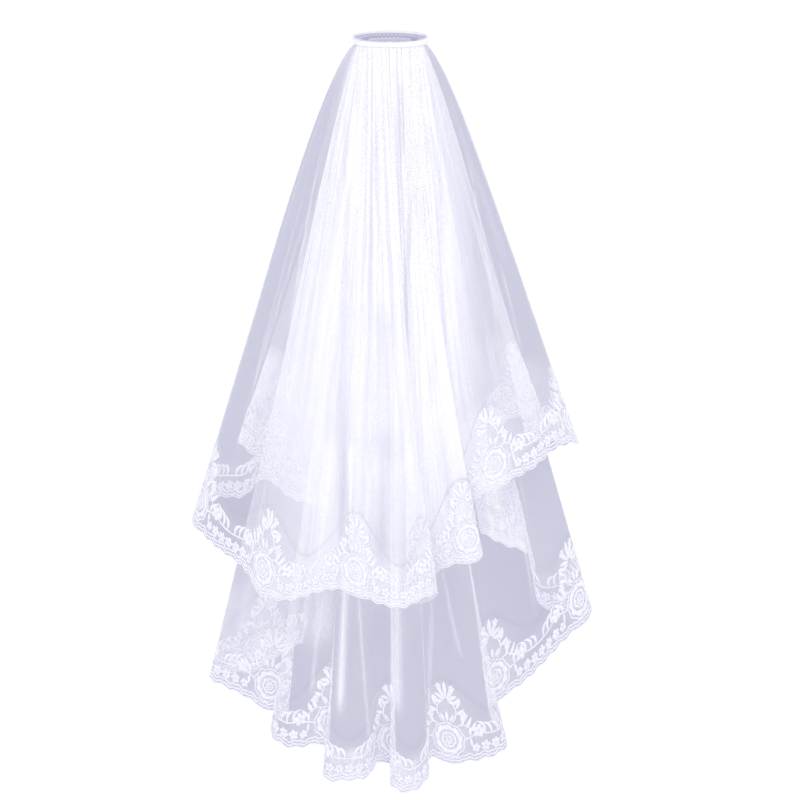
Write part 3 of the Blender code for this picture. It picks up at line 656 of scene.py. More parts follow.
def sides_of(rows):
    """Chart rows with their mirror images: (rows, 1) and (mirrored rows, -1), without a copy of those at
    0."""
    rows = np.array(rows, float)
    mirrored = rows[rows[:, 0] != 0]
    return np.concatenate([rows, mirrored]), np.concatenate([np.ones(len(rows)), -np.ones(len(mirrored))])


def rose_places(tier):
    """Lengths along the hem of the roses' middles, and how far the chart is stretched along the hem."""
    count, repeat = repeats_of(tier)
    return repeat * (np.arange(count) + 0.5), repeat / REPEAT


def clipped(tier, paths, across, height):
    """Tubes for those of the paths that lie between the cloth's two free edges."""
    s = paths[..., 0]
    inside = (s.min(1) > FREE_EDGE_MARGIN) & (s.max(1) < tier.hem.arc[-1] - FREE_EDGE_MARGIN)
    across, height = (np.broadcast_to(each, s.shape)[inside] for each in (across, height))
    return tubes(paths[inside], across, height)


def leaves(tier):
    """The charted leaves, each swayed a few degrees by a sine of its place, thickest where they are wide."""
    places, stretch = rose_places(tier)
    rows, side = sides_of(LEAVES)
    s = (places[:, None] + rows[:, 0] * side * stretch).ravel()
    rows[:, (2, 5)] *= side[:, None]
    t, turn, length, width, bend = np.tile(rows[:, 1:].T, len(places))
    sway = 4 * np.sin(1.7 * s)
    roots = np.column_stack([s, t])
    paths, across = leaf_shape(roots, turn + sway, length, width, bend, LEAF_STATIONS, LEAF_BLUNT)
    share, most, more = LEAF_HEIGHT
    return [clipped(tier, paths, across, np.minimum(across * share, most) + more)]


def flowers(tier):
    """Small flowers: petals set evenly round a knot."""
    places, stretch = rose_places(tier)
    both_sides = [(flower, sign) for flower in FLOWERS for sign in (1, -1)]
    parts = []
    for flower, sign in both_sides + [(flower, 1) for flower in MIDDLE_FLOWERS]:
        s = places + sign * flower.s * stretch
        middle = np.column_stack([s, np.full(len(s), flower.t)])[:, None]
        turn = 360 * np.arange(flower.petals) / flower.petals + FLOWER_TURN * sign
        roots = (middle + KNOT_RADIUS * bearing(np.radians(turn))).reshape(-1, 2)
        length, width = flower.radius - KNOT_RADIUS, 1.5 * pi * flower.radius / flower.petals
        turn = np.tile(turn, len(s))
        paths, across = leaf_shape(roots, turn, length, width, 0, PETAL_STATIONS, PETAL_BLUNT)
        knot = middle + np.array([[0, -KNOT_RADIUS], [0, 0], [0, KNOT_RADIUS]])
        parts.append(clipped(tier, paths, across, PETAL_HEIGHT))
        parts.append(clipped(tier, knot, KNOT_WIDTHS, KNOT_HEIGHT))
    return parts


def stems(tier):
    """The charted stems, each a smooth line through its points, on both sides of each rose."""
    places, stretch = rose_places(tier)
    parts = []
    for points in STEMS:
        points = np.array(points, float)
        knots = lengths_along(points)
        at = np.linspace(0, knots[-1], STEM_STATIONS)
        line = np.column_stack([smooth(knots, points[:, k], at) for k in (0, 1)])
        for sign in (1, -1):
            paths = places[:, None, None] * [1, 0] + line * [sign * stretch, 1]
            parts.append(clipped(tier, paths, *STEM_STRIP))
    return parts


def roses(tier):
    """A halo of petals on a round band inside a scalloped cord, a clear ring, a wavy ring and a spiral. A
    ring's radius waves by a cosine of the turn round it, and the spiral's grows evenly."""
    places, _ = rose_places(tier)
    middle = np.column_stack([places, np.full(len(places), ROSE_HEIGHT)])[:, None]
    turn = 360 * np.arange(HALO_PETALS) / HALO_PETALS
    roots = (middle + HALO_FOOT * bearing(np.radians(turn))).reshape(-1, 2)
    turn = np.tile(turn, len(places))
    paths, across = leaf_shape(roots, turn, *HALO_PETAL, 0, HALO_STATIONS, HALO_BLUNT)
    parts = [clipped(tier, paths, across, HALO_HEIGHT)]
    for ring in ROSE_RINGS:
        around = np.linspace(0, 2 * pi, ring.stations)
        reach = ring.radius + ring.wave * np.cos(ring.waves * around)
        paths = middle + bearing(around) * reach[:, None]
        parts.append(clipped(tier, paths, ring.half_width, RING_HEIGHT))
    around, reach = np.linspace(0, SPIRAL_TURN, SPIRAL_STATIONS), np.linspace(*SPIRAL_REACH, SPIRAL_STATIONS)
    return [*parts, clipped(tier, middle + bearing(around) * reach[:, None], *SPIRAL_STRIP)]


def hem_cords(tier):
    """Cords along the hem: each follows the scalloped edge, raised, with a sine wave."""
    s = np.arange(CORD_END, tier.hem.arc[-1] - CORD_END, CORD_STEP)
    parts = []
    for cord in HEM_CORDS:
        t = hem_line(tier, s) + cord.height + cord.wave * np.sin(2 * pi * s / CORD_WAVE)
        parts.append(tubes(np.column_stack([s, t])[None], cord.half_width, RING_HEIGHT))
    return parts


def embroidery(tier):
    """All the stitched motifs of a tier's edging, as points on the edging, quads and thread coordinates."""
    return joined([part for motif in (leaves, flowers, stems, roses, hem_cords) for part in motif(tier)])


# ---------------------------------------------------------------- materials


def srgb(code):
    """A hex colour code as a linear colour."""
    value = np.array([int(code[i : i + 2], 16) / 255 for i in (0, 2, 4)])
    linear = np.where(value <= 0.04045, value / 12.92, ((value + 0.055) / 1.055) ** 2.4)
    return (*linear.tolist(), 1.0)


def new_material(name):
    """An empty material and its node tree."""
    made = bpy.data.materials.new(name)
    made.use_nodes = True
    made.node_tree.nodes.clear()
    return made, made.node_tree


def node(tree, kind, settings=(), **links):
    """Adds a node. settings are its own properties; links are its inputs, by name or number after an
    underscore, each a value, another node's output, or a node whose first output is meant."""
    made = tree.nodes.new(kind)
    for key, value in dict(settings).items():
        setattr(made, key, value)
    for key, value in links.items():
        socket = made.inputs[int(key[1:])] if key[0] == "_" else made.inputs[key.replace("__", " ")]
        if isinstance(value, bpy.types.Node):
            value = value.outputs[0]
        if isinstance(value, bpy.types.NodeSocket):
            tree.links.new(value, socket)
        else:
            socket.default_value = value
    return made


def wave_scale(pitch):
    """Scale of a Wave node whose ridges lie pitch apart. At scale 1 they lie a tenth of pi apart."""
    return pi / (10 * pitch)


def net_material(name, look, grain):
    """Nylon bobbin tulle: soft hexagonal net with holes of about 1 mm, too fine to show, so it reads as a
    sheer film with a faint grain of 2.4 mm. It whitens where gathers lie close and where it turns edge-on,
    and it carries painted shade, darker and cooler, in the hollows between gathers."""
    made, tree = new_material(name)
    gathers = node(tree, "ShaderNodeAttribute", {"attribute_name": "gathers"}).outputs["Fac"]
    uv = node(tree, "ShaderNodeUVMap", {"uv_map": "cloth"})
    # streaks: gathers of two widths, about 3 and 16 mm of flat cloth, twenty times as long
    drawn_out = node(tree, "ShaderNodeMapping", _0=uv, Scale=(1.0, 0.05, 1.0))
    plane = {"noise_dimensions": "2D"}
    fine = node(tree, "ShaderNodeTexNoise", plane, Vector=drawn_out, Scale=3.2, Detail=3.0)
    broad = node(tree, "ShaderNodeTexNoise", plane, Vector=drawn_out, Scale=0.62, Detail=1.5)
    streaks = node(tree, "ShaderNodeMath", {"operation": "MULTIPLY_ADD"}, _0=fine, _1=0.5, _2=broad)
    streaks = node(tree, "ShaderNodeMapRange", Value=streaks, From__Min=0.5, From__Max=1.0, To__Min=0.84,
                   To__Max=1.20)
    # sheen: seen edge-on, the threads of the net close up
    edge = node(tree, "ShaderNodeLayerWeight", Blend=0.5).outputs["Facing"]
    edge = node(tree, "ShaderNodeMath", {"operation": "POWER"}, _0=edge, _1=4.0)
    close = node(tree, "ShaderNodeMath", {"operation": "MULTIPLY"}, _0=gathers, _1=streaks)
    close = node(tree, "ShaderNodeMath", {"operation": "MULTIPLY_ADD", "use_clamp": True}, _0=edge,
                 _1=look.edge_sheen, _2=close)
    layer = node(tree, "ShaderNodeMapRange", Value=close, To__Min=look.sheer, To__Max=look.gathered)
    place = node(tree, "ShaderNodeTexCoord").outputs["Object"]
    holes = node(tree, "ShaderNodeTexVoronoi", {"feature": "DISTANCE_TO_EDGE"}, Vector=place, Scale=420.0)
    holes = node(tree, "ShaderNodeMapRange", Value=holes, From__Max=0.35, To__Min=1 + grain,
                 To__Max=1 - grain)
    layer = node(tree, "ShaderNodeMath", {"operation": "MULTIPLY", "use_clamp": True}, _0=layer, _1=holes)
    # the shell has two faces, so each lets through the square root of what the layer does
    through = node(tree, "ShaderNodeMath", {"operation": "SUBTRACT"}, _0=1.0, _1=layer)
    through = node(tree, "ShaderNodeMath", {"operation": "SQRT"}, _0=through)
    # painted shade: between two gathers, where the streaks run low, the net takes a darker, cooler colour,
    # standing in for the light that goes deeper there and comes back cooler
    painted_hollow_shade = node(tree, "ShaderNodeMapRange", Value=streaks, From__Min=0.88, From__Max=1.1, To__Min=0.0,
                  To__Max=1.0)
    gathered = node(tree, "ShaderNodeMix", {"data_type": "RGBA"}, _0=painted_hollow_shade, _6=srgb(look.shade_between_gathers),
                    _7=srgb(look.gathered_net)).outputs[2]
    mix = node(tree, "ShaderNodeMix", {"data_type": "RGBA"}, _0=close, _6=srgb(look.open_net), _7=gathered)
    surface = node(tree, "ShaderNodeBsdfPrincipled", Base__Color=mix.outputs[2], Roughness=0.75, IOR=1.53,
                   Sheen__Weight=0.4, Sheen__Roughness=0.5)
    glow = node(tree, "ShaderNodeBsdfTranslucent", Color=mix.outputs[2])
    # an open layer passes more light on than a gathered one, whose threads lie over each other
    passed = node(tree, "ShaderNodeMapRange", Value=close, To__Min=0.25, To__Max=0.04)
    threads = node(tree, "ShaderNodeMixShader", _0=passed, _1=surface, _2=glow)
    clear = node(tree, "ShaderNodeBsdfTransparent")
    both = node(tree, "ShaderNodeMixShader", _0=through, _1=threads, _2=clear)
    node(tree, "ShaderNodeOutputMaterial", Surface=both)
    return made


def thread_material(name, code, pitch):
    """Rayon thread in satin stitch: bright, with a soft lustre and fine ridges where the stitches lie side
    by side."""
    made, tree = new_material(name)
    uv = node(tree, "ShaderNodeUVMap", {"uv_map": "cloth"})
    ridges = node(tree, "ShaderNodeTexWave", {"bands_direction": "X"}, Vector=uv, Scale=wave_scale(pitch),
                  Distortion=0.6, Detail=1.0).outputs["Fac"]
    bump = node(tree, "ShaderNodeBump", Strength=0.35, Distance=0.0002, Height=ridges)
    # patches of 6 mm, where the thread turns and takes the light another way
    place = node(tree, "ShaderNodeTexCoord").outputs["Object"]
    patches = node(tree, "ShaderNodeTexNoise", Vector=place, Scale=180.0, Detail=2.0)
    colour = node(tree, "ShaderNodeMix", {"data_type": "RGBA"}, _0=patches, _6=srgb("E0E0F0"), _7=srgb(code))
    surface = node(tree, "ShaderNodeBsdfPrincipled", Base__Color=colour.outputs[2], Roughness=0.5,
                   Metallic=0.0, IOR=1.47, Normal=bump, Sheen__Weight=0.35, Sheen__Roughness=0.4)
    node(tree, "ShaderNodeOutputMaterial", Surface=surface)
    return made


def tape_material(name, code, groove, pitch):
    """Polyester grosgrain tape: fine crosswise ribs with a dull silky face, with painted shade in the
    grooves, where its colour is darker.
    """
    made, tree = new_material(name)
    uv = node(tree, "ShaderNodeUVMap", {"uv_map": "cloth"})
    ribs = node(tree, "ShaderNodeTexWave", {"bands_direction": "X"}, Vector=uv, Scale=wave_scale(pitch),
                Distortion=0.3).outputs["Fac"]
    bump = node(tree, "ShaderNodeBump", Strength=0.5, Distance=0.0003, Height=ribs)
    # painted shade: the groove colour lies where the ribs dip
    shade = node(tree, "ShaderNodeMix", {"data_type": "RGBA"}, _0=ribs, _6=srgb(groove), _7=srgb(code))
    surface = node(tree, "ShaderNodeBsdfPrincipled", Base__Color=shade.outputs[2], Roughness=0.55,
                   Metallic=0.0, IOR=1.5, Normal=bump)
    node(tree, "ShaderNodeOutputMaterial", Surface=surface)
    return made


def comb_material(name, code):
    """Injection-moulded polypropylene: pale and milky, with a faint flow mottle of 4 mm under a satin
    surface."""
    made, tree = new_material(name)
    place = node(tree, "ShaderNodeTexCoord").outputs["Object"]
    flow = node(tree, "ShaderNodeTexNoise", Vector=place, Scale=260.0, Detail=3.0)
    rough = node(tree, "ShaderNodeMapRange", Value=flow, To__Min=0.28, To__Max=0.42)
    surface = node(tree, "ShaderNodeBsdfPrincipled", Base__Color=srgb(code), Roughness=rough, Metallic=0.0,
                   IOR=1.49, Subsurface__Weight=0.2, Subsurface__Radius=(0.002, 0.002, 0.002))
    node(tree, "ShaderNodeOutputMaterial", Surface=surface)
    return made


# ---------------------------------------------------------------- settings


class VeilSizes(bpy.types.PropertyGroup):
    net_thickness: bpy.props.FloatProperty(name="Net thickness", description="Thickness of the tulle's shell",
                                           default=0.0003, min=0.0001, unit="LENGTH")
    stitch_pitch: bpy.props.FloatProperty(name="Stitch pitch", description="Width of one satin stitch",
                                          default=0.0004, min=0.0001, unit="LENGTH")
    rib_pitch: bpy.props.FloatProperty(name="Rib pitch", description="Distance between the band's ribs",
                                       default=0.0006, min=0.0002, unit="LENGTH")
    picture_width: bpy.props.FloatProperty(name="Picture width", description="Width that the camera takes in",
                                           default=0.952, min=0.1, unit="LENGTH")


class VeilLook(bpy.types.PropertyGroup):
    sheer: bpy.props.FloatProperty(name="Open net's cover", default=0.12, min=0, max=1, subtype="FACTOR",
                                   description="How much one open layer of net hides")
    gathered: bpy.props.FloatProperty(name="Gathered net's cover", default=0.90, min=0, max=1,
                                      subtype="FACTOR", description="How much one gathered layer hides")
    edge_sheen: bpy.props.FloatProperty(name="Edge sheen", description="Whitening where net turns edge-on",
                                        default=0.65, min=0, max=1, subtype="FACTOR")
    open_net: bpy.props.StringProperty(name="Open net", description="Hex colour of the net hanging open",
                                       default="F2F2FA")
    gathered_net: bpy.props.StringProperty(name="Gathered net", description="Hex colour of close gathers",
                                           default="FBFBFF")
    # painted shade: the darker, cooler colour in the hollows between close gathers
    shade_between_gathers: bpy.props.StringProperty(name="Shade between gathers", default="EEEEFD",
                                              description="Hex colour of painted shade in the hollows of close gathers")
    thread: bpy.props.StringProperty(name="Thread", description="Hex colour of the embroidery thread",
                                     default="F2F2FB")
    tape: bpy.props.StringProperty(name="Tape", description="Hex colour of the band's tape", default="FCFCFF")
    # painted shade: the grey-lilac colour of the band's top and inside, standing in for the shade there
    lining: bpy.props.StringProperty(name="Band inside in shade", description="Hex colour painted on the band's inside as its shade",
                                     default="C3C3D8")
    comb: bpy.props.StringProperty(name="Comb", description="Hex colour of the comb", default="CDCDDD")
    floor: bpy.props.StringProperty(name="Floor", description="Hex colour of the studio floor",
                                    default="FCFCFD")
    behind_net: bpy.props.StringProperty(name="Behind the net", default="BBBBD2",
                                         description="Hex colour of the studio as it shows through the net")


def settings():
    """The sizes and the look that the user has set."""
    return bpy.context.scene.veil_sizes, bpy.context.scene.veil_look


# ---------------------------------------------------------------- operators


class VEIL_OT_tulle(bpy.types.Operator):
    """Hang the two gathered sheets of tulle"""

    bl_idname = "veil.tulle"
    bl_label = "Tulle tiers"

    def execute(self, context):
        net = net_material("nylon bobbin tulle", context.scene.veil_look, 0.10)
        for tier in TIERS.values():
            column = np.linspace(0, tier.columns, tier.columns * COLUMN_STEPS + 1)
            (along,) = at_column(tier, column, "arc")
            foot = level_above_hem(tier, column, lace_top(tier, along))
            level = np.linspace(0, 1, TULLE_ROWS)[:, None] ** ROW_SPACING * foot
            column = np.broadcast_to(column, level.shape)
            middle, gathers = creased(tier, column, level), gathers_of(tier, column, level)
            made = net_sheet(f"{tier.name}_tulle", tier, column, level, middle, gathers, net, "tulle")
            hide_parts(f"{tier.name}_tier_tulle")
        return {"FINISHED"}


class VEIL_OT_lace_ground(bpy.types.Operator):
    """Hang the edging's net ground below each sheet of tulle"""

    bl_idname = "veil.lace_ground"
    bl_label = "Lace ground"

    def execute(self, context):
        net = net_material("nylon net lace ground", context.scene.veil_look, 0.14)
        for tier in TIERS.values():
            length = tier.hem.arc[-1]
            along = np.linspace(0, length, int(length / GROUND_STEP) + 1)
            low, high = hem_line(tier, along), lace_top(tier, along)
            height = low + (high - low) * np.linspace(1, 0, GROUND_ROWS)[:, None]
            along = np.broadcast_to(along, height.shape)
            column = np.interp(along, tier.hem.arc, tier.hem.column)
            level = level_above_hem(tier, column, height)
            middle = creased(tier, column, level)
            middle[0] = seam_point(tier, column[0])
            gathers = gathers_of(tier, column, level) + close_ground(tier, along, height)
            made = net_sheet(f"{tier.name}_lace_ground", tier, column, level, middle, gathers, net, "lace")
            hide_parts(f"{tier.name}_tier_lace")
        return {"FINISHED"}


class VEIL_OT_embroidery(bpy.types.Operator):
    """Stitch the roses, leaves, stems and cords on the edging"""

    bl_idname = "veil.embroidery"
    bl_label = "Embroidery"

    def execute(self, context):
        sizes, look = settings()
        thread = thread_material("rayon satin stitch", look.thread, sizes.stitch_pitch * 1000)
        for tier in TIERS.values():
            flat, quads, uv = embroidery(tier)
            mesh_object(f"{tier.name}_embroidery", on_edging(tier, flat), quads, uv, thread, "lace")
        return {"FINISHED"}


BAND_RADIUS = 38.0  # mean radius, which turns an angle round the band to a length
BAND_STATIONS = 360
PUCKERS = 66
# How much higher the band's top stands: on average, at its front, and at the fold of the tape's two ends
BAND_LIFT, BAND_TILT, TAPE_END_LIFT = 1.0, 2.2, 0.9
TAPE_END_TURN, TAPE_END_REACH = 3.3, 0.16
LOW = -BAND_HEIGHT
# Closed profiles of (inset, height, pucker) rows
TAPE_PROFILE = np.array([
    (2.4, LOW + 0.2, 0.12), (2.0, LOW, 0.20), (1.5, LOW + 1.4, 0.28), (1.0, LOW + 3.4, 0.22),
    (0.7, -1.3, 0.15), (0.9, -0.4, 0.06), (1.4, 0.0, 0.0), (2.0, -0.3, 0.0), (2.2, -0.9, 0.0),
    (2.1, -1.6, 0.0), (2.4, LOW + 2.0, 0.0),
])
# the band's top and inside, which carry the painted shade
BAND_INSIDE_PROFILE = np.array([
    (2.2, -1.0, 0.0), (2.4, -0.4, 0.0), (BAND_INNER / 2, -0.6, 0.0), (BAND_INNER - 1.0, -1.4, 0.0),
    (BAND_INNER - 0.2, -2.0, 0.05), (BAND_INNER, -2.8, 0.08), (BAND_INNER, LOW + 1.0, 0.08),
    (BAND_INNER - 0.3, LOW + 0.2, 0.05), (BAND_INNER - 0.8, LOW + 0.3, 0.0),
    (BAND_INNER - 0.9, -2.4, 0.0), (BAND_INNER - 1.6, -2.0, 0.0), (BAND_INNER / 2, -1.6, 0.0),
])
HEADING_LOOPS = 88
LOOP_STATIONS = 12
HEADING_INSET, HEADING_HEIGHT = 1.1, 0.75
LOOP_DEPTH, LOOP_HEIGHT = 0.7, 0.65
HEADING_RADIUS = 0.34
StitchRow = namedtuple("StitchRow", "inset height count shift")
STITCH_ROWS = (
    StitchRow(0.75, -1.7, 78, 0.0),
    StitchRow(1.35, -5.4, 78, 0.5),
    StitchRow(BAND_INNER - 0.1, -1.9, 46, 0.0),
    StitchRow(BAND_INNER + 0.1, -3.6, 46, 0.5),
)
STITCH_LENGTH = 1.5
STITCH_STATIONS = np.array([-1.0, -0.6, 0.0, 0.6, 1.0])  # in half lengths from the middle
STITCH_WIDTHS = np.array([0.14, 0.36, 0.45, 0.36, 0.14])


def around_band(inset, turn, z):
    """Points of an oval that lies inset inside the band's outer oval. Above the band's foot it rises
    towards the front, and a little at its left end, where the tape's two ends are folded over each other."""
    fold = TAPE_END_LIFT * np.exp(-(((turn - TAPE_END_TURN) / TAPE_END_REACH) ** 2))
    lift = BAND_LIFT + BAND_TILT * np.sin(turn) + fold
    z = z + lift * np.clip(1 + z / BAND_HEIGHT, 0, None)
    x, y = (BAND_WIDTH / 2 - inset) * np.cos(turn), (BAND_DEPTH / 2 - inset) * np.sin(turn)
    return np.stack(np.broadcast_arrays(x, y, z), -1)


def ring_sweep(profile):
    """A closed profile carried round the band, with thread coordinates. A row's pucker is how far the
    gathers under the tape push it in and out, by a cosine of the turn."""
    turn = np.linspace(0, 2 * pi, BAND_STATIONS, endpoint=False)[:, None]
    inset = profile[:, 0] + profile[:, 2] * np.cos(PUCKERS * turn)
    uv = np.stack(np.broadcast_arrays(turn * BAND_RADIUS, lengths_along(profile[:, :2])), -1)
    return around_band(inset, turn, profile[:, 1]), ring_quads(BAND_STATIONS, len(profile)), uv


def closed_cord(path, radius):
    """A round cord along a closed path, with thread coordinates: a circle square to the path at every
    point."""
    way = unit(np.roll(path, -1, axis=0) - np.roll(path, 1, axis=0))
    side = unit(np.cross(way, [0.0, 0.0, 1.0]))
    up = np.cross(side, way)
    turn = 2 * pi * np.arange(CORD_SIDES) / CORD_SIDES
    wall = radius * (side[:, None] * np.cos(turn)[:, None] + up[:, None] * np.sin(turn)[:, None])
    uv = np.stack(np.broadcast_arrays(lengths_along(path)[:, None], np.arange(CORD_SIDES) * 0.3), -1)
    return path[:, None] + wall, ring_quads(len(path), CORD_SIDES), uv


def stitch_bars(row):
    """Short rounded bars laid end to end round the band, a gap between each two. A bar's cross-section is a
    circle, wide in its middle."""
    turn = 2 * pi * (np.arange(row.count) + row.shift) / row.count
    at = turn[:, None] + STITCH_LENGTH / 2 / BAND_RADIUS * STITCH_STATIONS
    around = 2 * pi * np.arange(CORD_SIDES) / CORD_SIDES
    lift, rise = STITCH_WIDTHS[:, None] * np.cos(around), STITCH_WIDTHS[:, None] * np.sin(around)
    points = around_band(row.inset - lift, at[:, :, None], row.height + rise)
    stations = len(STITCH_STATIONS)
    along, across = np.arange(stations) * STITCH_LENGTH / (stations - 1), np.arange(CORD_SIDES) * 0.2
    uv = np.broadcast_to(np.stack(np.broadcast_arrays(along[:, None], across), -1), (*points.shape[:3], 2))
    return points.reshape(-1, 3), tube_quads(row.count, stations, CORD_SIDES), uv.reshape(-1, 2)


class VEIL_OT_gathering_band(bpy.types.Operator):
    """Bind the gathers with a narrow tape, its heading and its stitches"""

    bl_idname = "veil.gathering_band"
    bl_label = "Gathering band"

    def execute(self, context):
        sizes, look = settings()
        ribs, stitches = sizes.rib_pitch * 1000, sizes.stitch_pitch * 1000
        # EEEEF8 is painted shade in the tape's grooves
        tape = tape_material("polyester grosgrain tape", look.tape, "EEEEF8", ribs)
        band = mesh_object("band_tape", *ring_sweep(TAPE_PROFILE), tape, "satin_tape")
        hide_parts("gathering_band")
        # painted shade: the band's top and inside are drawn as a grey-lilac sheet standing in for the shade
        # inside the band, and A9A9C4 is painted shade in its grooves
        inside_shade = tape_material("band inside in painted shade", look.lining, "A9A9C4", ribs)
        mesh_object("band_inside_in_shade", *ring_sweep(BAND_INSIDE_PROFILE), inside_shade, "satin_tape")

        # heading: the tulle's gathered edge, standing up in small loops along the outer rim
        thread = thread_material("cotton sewing thread", look.thread, stitches)
        turn = np.linspace(0, 2 * pi, HEADING_LOOPS * LOOP_STATIONS, endpoint=False)
        inset = HEADING_INSET + LOOP_DEPTH * np.sin(HEADING_LOOPS * turn)
        path = around_band(inset, turn, HEADING_HEIGHT + LOOP_HEIGHT * np.cos(HEADING_LOOPS * turn))
        mesh_object("gathered_heading", *closed_cord(path, HEADING_RADIUS), thread, "tulle")

        # stitches: two rows outside and two inside, each a short raised bar
        bars = joined([stitch_bars(row) for row in STITCH_ROWS])
        mesh_object("band_stitches", *bars, thread, "satin_tape")
        return {"FINISHED"}


COMB_HALF_ANGLE = 50.0
COMB_BACK = BAND_INNER + SEAM  # inset of the spine's back
COMB_SIDES = 12
SPINE_STATIONS = 49
SPINE_HEIGHT = -5.4
SPINE_HALF_DEPTH, SPINE_HALF_TALL = 1.0, 1.6
SPINE_END, SPINE_ROUNDING = 0.35, 0.6
TOOTH_COUNT = 13
TOOTH_LENGTH = 32.0
TOOTH_HEIGHT = -6.0
TOOTH_SPREAD = 0.96  # share of the spine's angle
TOOTH_STATIONS = 10
TOOTH_FALLS, TOOTH_RADII = (0, 0.08, 0.9, 1.0), (1.0, 0.85, 0.55, 0.2)


def comb_spine():
    """A rounded bar along the band's inner side: a superellipse, drawn in at its two ends."""
    turn = np.radians(90 + COMB_HALF_ANGLE * np.linspace(1, -1, SPINE_STATIONS))
    around = 2 * pi * np.arange(COMB_SIDES) / COMB_SIDES
    station = np.arange(SPINE_STATIONS)
    taper = np.clip(np.minimum(station, station[::-1]) / 2.0, SPINE_END, 1)[:, None]
    deep, tall = (taper * np.sign(f) * np.abs(f) ** SPINE_ROUNDING for f in (np.cos(around), np.sin(around)))
    lift, rise = SPINE_HALF_DEPTH * (1 + deep), SPINE_HALF_TALL * tall
    points = around_band(COMB_BACK + lift, turn[:, None], SPINE_HEIGHT + rise).reshape(-1, 3)
    return points, tube_quads(1, SPINE_STATIONS, COMB_SIDES), np.zeros((len(points), 2))


def comb_teeth():
    """Round teeth that taper to a blunt point: a circle carried straight down from the spine."""
    at = np.radians(90 + COMB_HALF_ANGLE * np.linspace(TOOTH_SPREAD, -TOOTH_SPREAD, TOOTH_COUNT))
    around = 2 * pi * np.arange(COMB_SIDES) / COMB_SIDES
    fall = np.linspace(0, 1, TOOTH_STATIONS)
    root = around_band(COMB_BACK + SPINE_HALF_DEPTH, at, TOOTH_HEIGHT)
    down = fall[:, None] * [0, 0, -TOOTH_LENGTH]
    ring = np.stack([np.cos(around), np.sin(around), np.zeros(COMB_SIDES)], -1)
    radius = np.interp(fall, TOOTH_FALLS, TOOTH_RADII)
    points = (root[:, None, None] + down[:, None] + radius[:, None, None] * ring).reshape(-1, 3)
    return points, tube_quads(TOOTH_COUNT, TOOTH_STATIONS, COMB_SIDES), np.zeros((len(points), 2))


class VEIL_OT_comb(bpy.types.Operator):
    """Mould the comb's curved spine and its tapered teeth"""

    bl_idname = "veil.comb"
    bl_label = "Hair comb"

    def execute(self, context):
        plastic = comb_material("moulded polypropylene", context.scene.veil_look.comb)
        comb = mesh_object("comb", *joined([comb_spine(), comb_teeth()]), plastic, "comb_plastic")
        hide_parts("hair_comb")
        return {"FINISHED"}


Lamp = namedtuple("Lamp", "name place size power")
LAMPS = (
    Lamp("key light", (-1.3, -2.4, 0.9), 1.6, 10.5),
    Lamp("fill light", (0.5, -1.3, 0.45), 0.8, 4.2),
    Lamp("back light", (0.2, 2.2, 1.2), 1.6, 3.0),
)
LAMP_AIM = (0.0, 0.0, -0.45)
FLOOR_REACH, FLOOR_HEIGHT = 14.0, -1.66
CAMERA_TILT = 8.0
CAMERA_AWAY = 4.0
PIXELS = 800
BAND_PIXEL = (390, 38.2)  # where the middle of the band's top is seen


def behind_net(tree, plain, seen):
    """The studio is white, and the stage alone shows it darker where the eye meets it through a layer of
    net, so that white net stands out against white. Nothing of this is in the veil's own materials."""
    path = node(tree, "ShaderNodeLightPath").outputs
    passed = node(tree, "ShaderNodeMath", {"operation": "GREATER_THAN"}, _0=path["Transparent Depth"], _1=0.5)
    passed = node(tree, "ShaderNodeMath", {"operation": "MULTIPLY"}, _0=passed, _1=path["Is Camera Ray"])
    return node(tree, "ShaderNodeMixShader", _0=passed, _1=plain, _2=seen)


def look_along(made, place, way):
    """Puts a lamp or the camera at a place, turned to look along way."""
    made.location = place
    made.rotation_mode = "QUATERNION"
    made.rotation_quaternion = Vector(way).to_track_quat("-Z", "Y")
    bpy.context.scene.collection.objects.link(made)


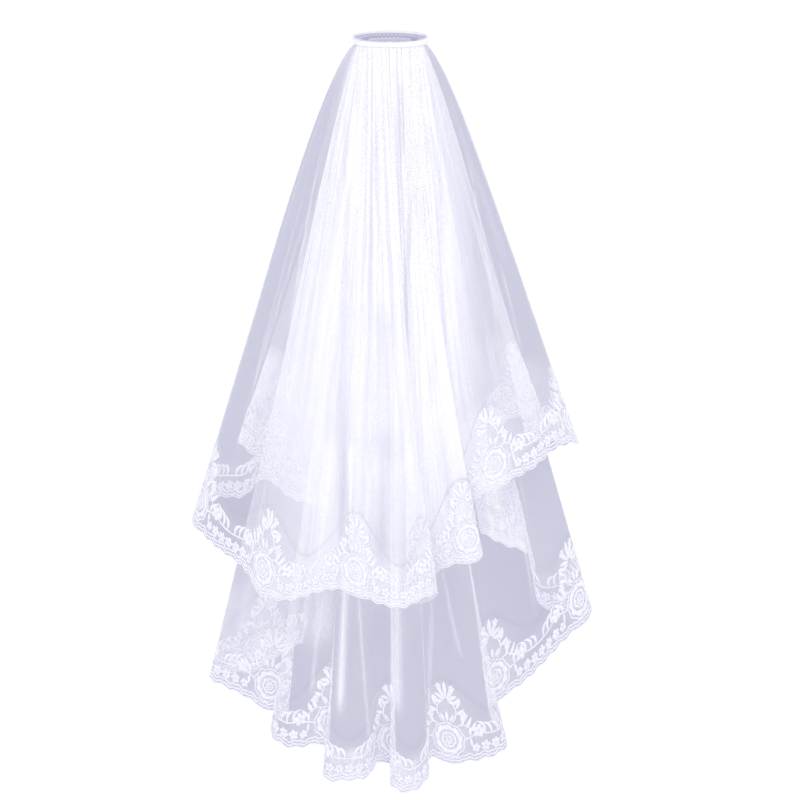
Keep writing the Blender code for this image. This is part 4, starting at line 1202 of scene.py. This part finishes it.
class VEIL_OT_stage(bpy.types.Operator):
    """Set up the pale floor, the soft lights and the camera"""

    bl_idname = "veil.stage"
    bl_label = "Studio stage"

    def execute(self, context):
        sizes, look = settings()
        scene = context.scene
        scene.view_settings.view_transform = "Standard"
        scene.cycles.transparent_max_bounces = 96
        scene.cycles.max_bounces = 10

        world = bpy.data.worlds.new("studio")
        scene.world = world
        world.use_nodes = True
        tree = world.node_tree
        tree.nodes.clear()
        sky = node(tree, "ShaderNodeBackground", Color=srgb("FFFFFF"), Strength=1.04)
        dim = node(tree, "ShaderNodeBackground", Color=srgb(look.behind_net), Strength=1.0)
        node(tree, "ShaderNodeOutputWorld", Surface=behind_net(tree, sky, dim))

        paint, tree = new_material("matt studio floor paint")
        place = node(tree, "ShaderNodeTexCoord").outputs["Object"]
        mottle = node(tree, "ShaderNodeTexNoise", Vector=place, Scale=3.0, Detail=2.0)
        rough = node(tree, "ShaderNodeMapRange", Value=mottle, To__Min=0.8, To__Max=0.9)
        plain = node(tree, "ShaderNodeBsdfDiffuse", Color=srgb(look.floor), Roughness=rough)
        dim = node(tree, "ShaderNodeEmission", Color=srgb(look.behind_net), Strength=1.0)
        node(tree, "ShaderNodeOutputMaterial", Surface=behind_net(tree, plain, dim))
        mesh = bpy.data.meshes.new("studio_floor")
        low, high, z = -FLOOR_REACH, FLOOR_REACH, FLOOR_HEIGHT
        mesh.from_pydata([(low, low, z), (high, low, z), (high, high, z), (low, high, z)], [], [(0, 1, 2, 3)])
        mesh.materials.append(paint)
        floor = bpy.data.objects.new("studio_floor", mesh)
        scene.collection.objects.link(floor)

        for lamp in LAMPS:
            data = bpy.data.lights.new(lamp.name, "AREA")
            data.size, data.energy = lamp.size, lamp.power
            made = bpy.data.objects.new(lamp.name, data)
            made.visible_camera = False
            look_along(made, lamp.place, np.array(LAMP_AIM) - np.array(lamp.place))

        data = bpy.data.cameras.new("camera")
        data.type = "ORTHO"
        data.ortho_scale = sizes.picture_width
        data.clip_end = 100.0
        scale = sizes.picture_width / PIXELS
        right, up = (PIXELS / 2 - BAND_PIXEL[0]) * scale, (BAND_PIXEL[1] - PIXELS / 2) * scale
        tilt = radians(CAMERA_TILT)
        way = np.array([0.0, np.cos(tilt), -np.sin(tilt)])
        lift = np.array([0.0, np.sin(tilt), np.cos(tilt)])
        camera = bpy.data.objects.new("camera", data)
        look_along(camera, np.array([right, 0.0, 0.0]) + lift * up - way * CAMERA_AWAY - SEAT * MM, way)
        scene.camera = camera
        return {"FINISHED"}


STEPS = (VEIL_OT_tulle, VEIL_OT_lace_ground, VEIL_OT_embroidery, VEIL_OT_gathering_band, VEIL_OT_comb,
         VEIL_OT_stage)


class VEIL_PT_panel(bpy.types.Panel):
    """Settings and steps of the veil"""

    bl_idname = "VEIL_PT_panel"
    bl_label = "Bridal veil"
    bl_space_type = "VIEW_3D"
    bl_region_type = "UI"
    bl_category = "Veil"

    def draw(self, context):
        for group in (context.scene.veil_sizes, context.scene.veil_look):
            for name in group.__annotations__:
                self.layout.prop(group, name)
        for step in STEPS:
            self.layout.operator(step.bl_idname)


CLASSES = (VeilSizes, VeilLook, *STEPS, VEIL_PT_panel)


def register():
    for each in CLASSES:
        bpy.utils.register_class(each)
    bpy.types.Scene.veil_sizes = bpy.props.PointerProperty(type=VeilSizes)
    bpy.types.Scene.veil_look = bpy.props.PointerProperty(type=VeilLook)


def unregister():
    del bpy.types.Scene.veil_look
    del bpy.types.Scene.veil_sizes
    for each in reversed(CLASSES):
        bpy.utils.unregister_class(each)


def main():
    register()
    bpy.ops.veil.tulle()
    bpy.ops.veil.lace_ground()
    bpy.ops.veil.embroidery()
    bpy.ops.veil.gathering_band()
    bpy.ops.veil.comb()
    bpy.ops.veil.stage()


if __name__ == "__main__":
    main()
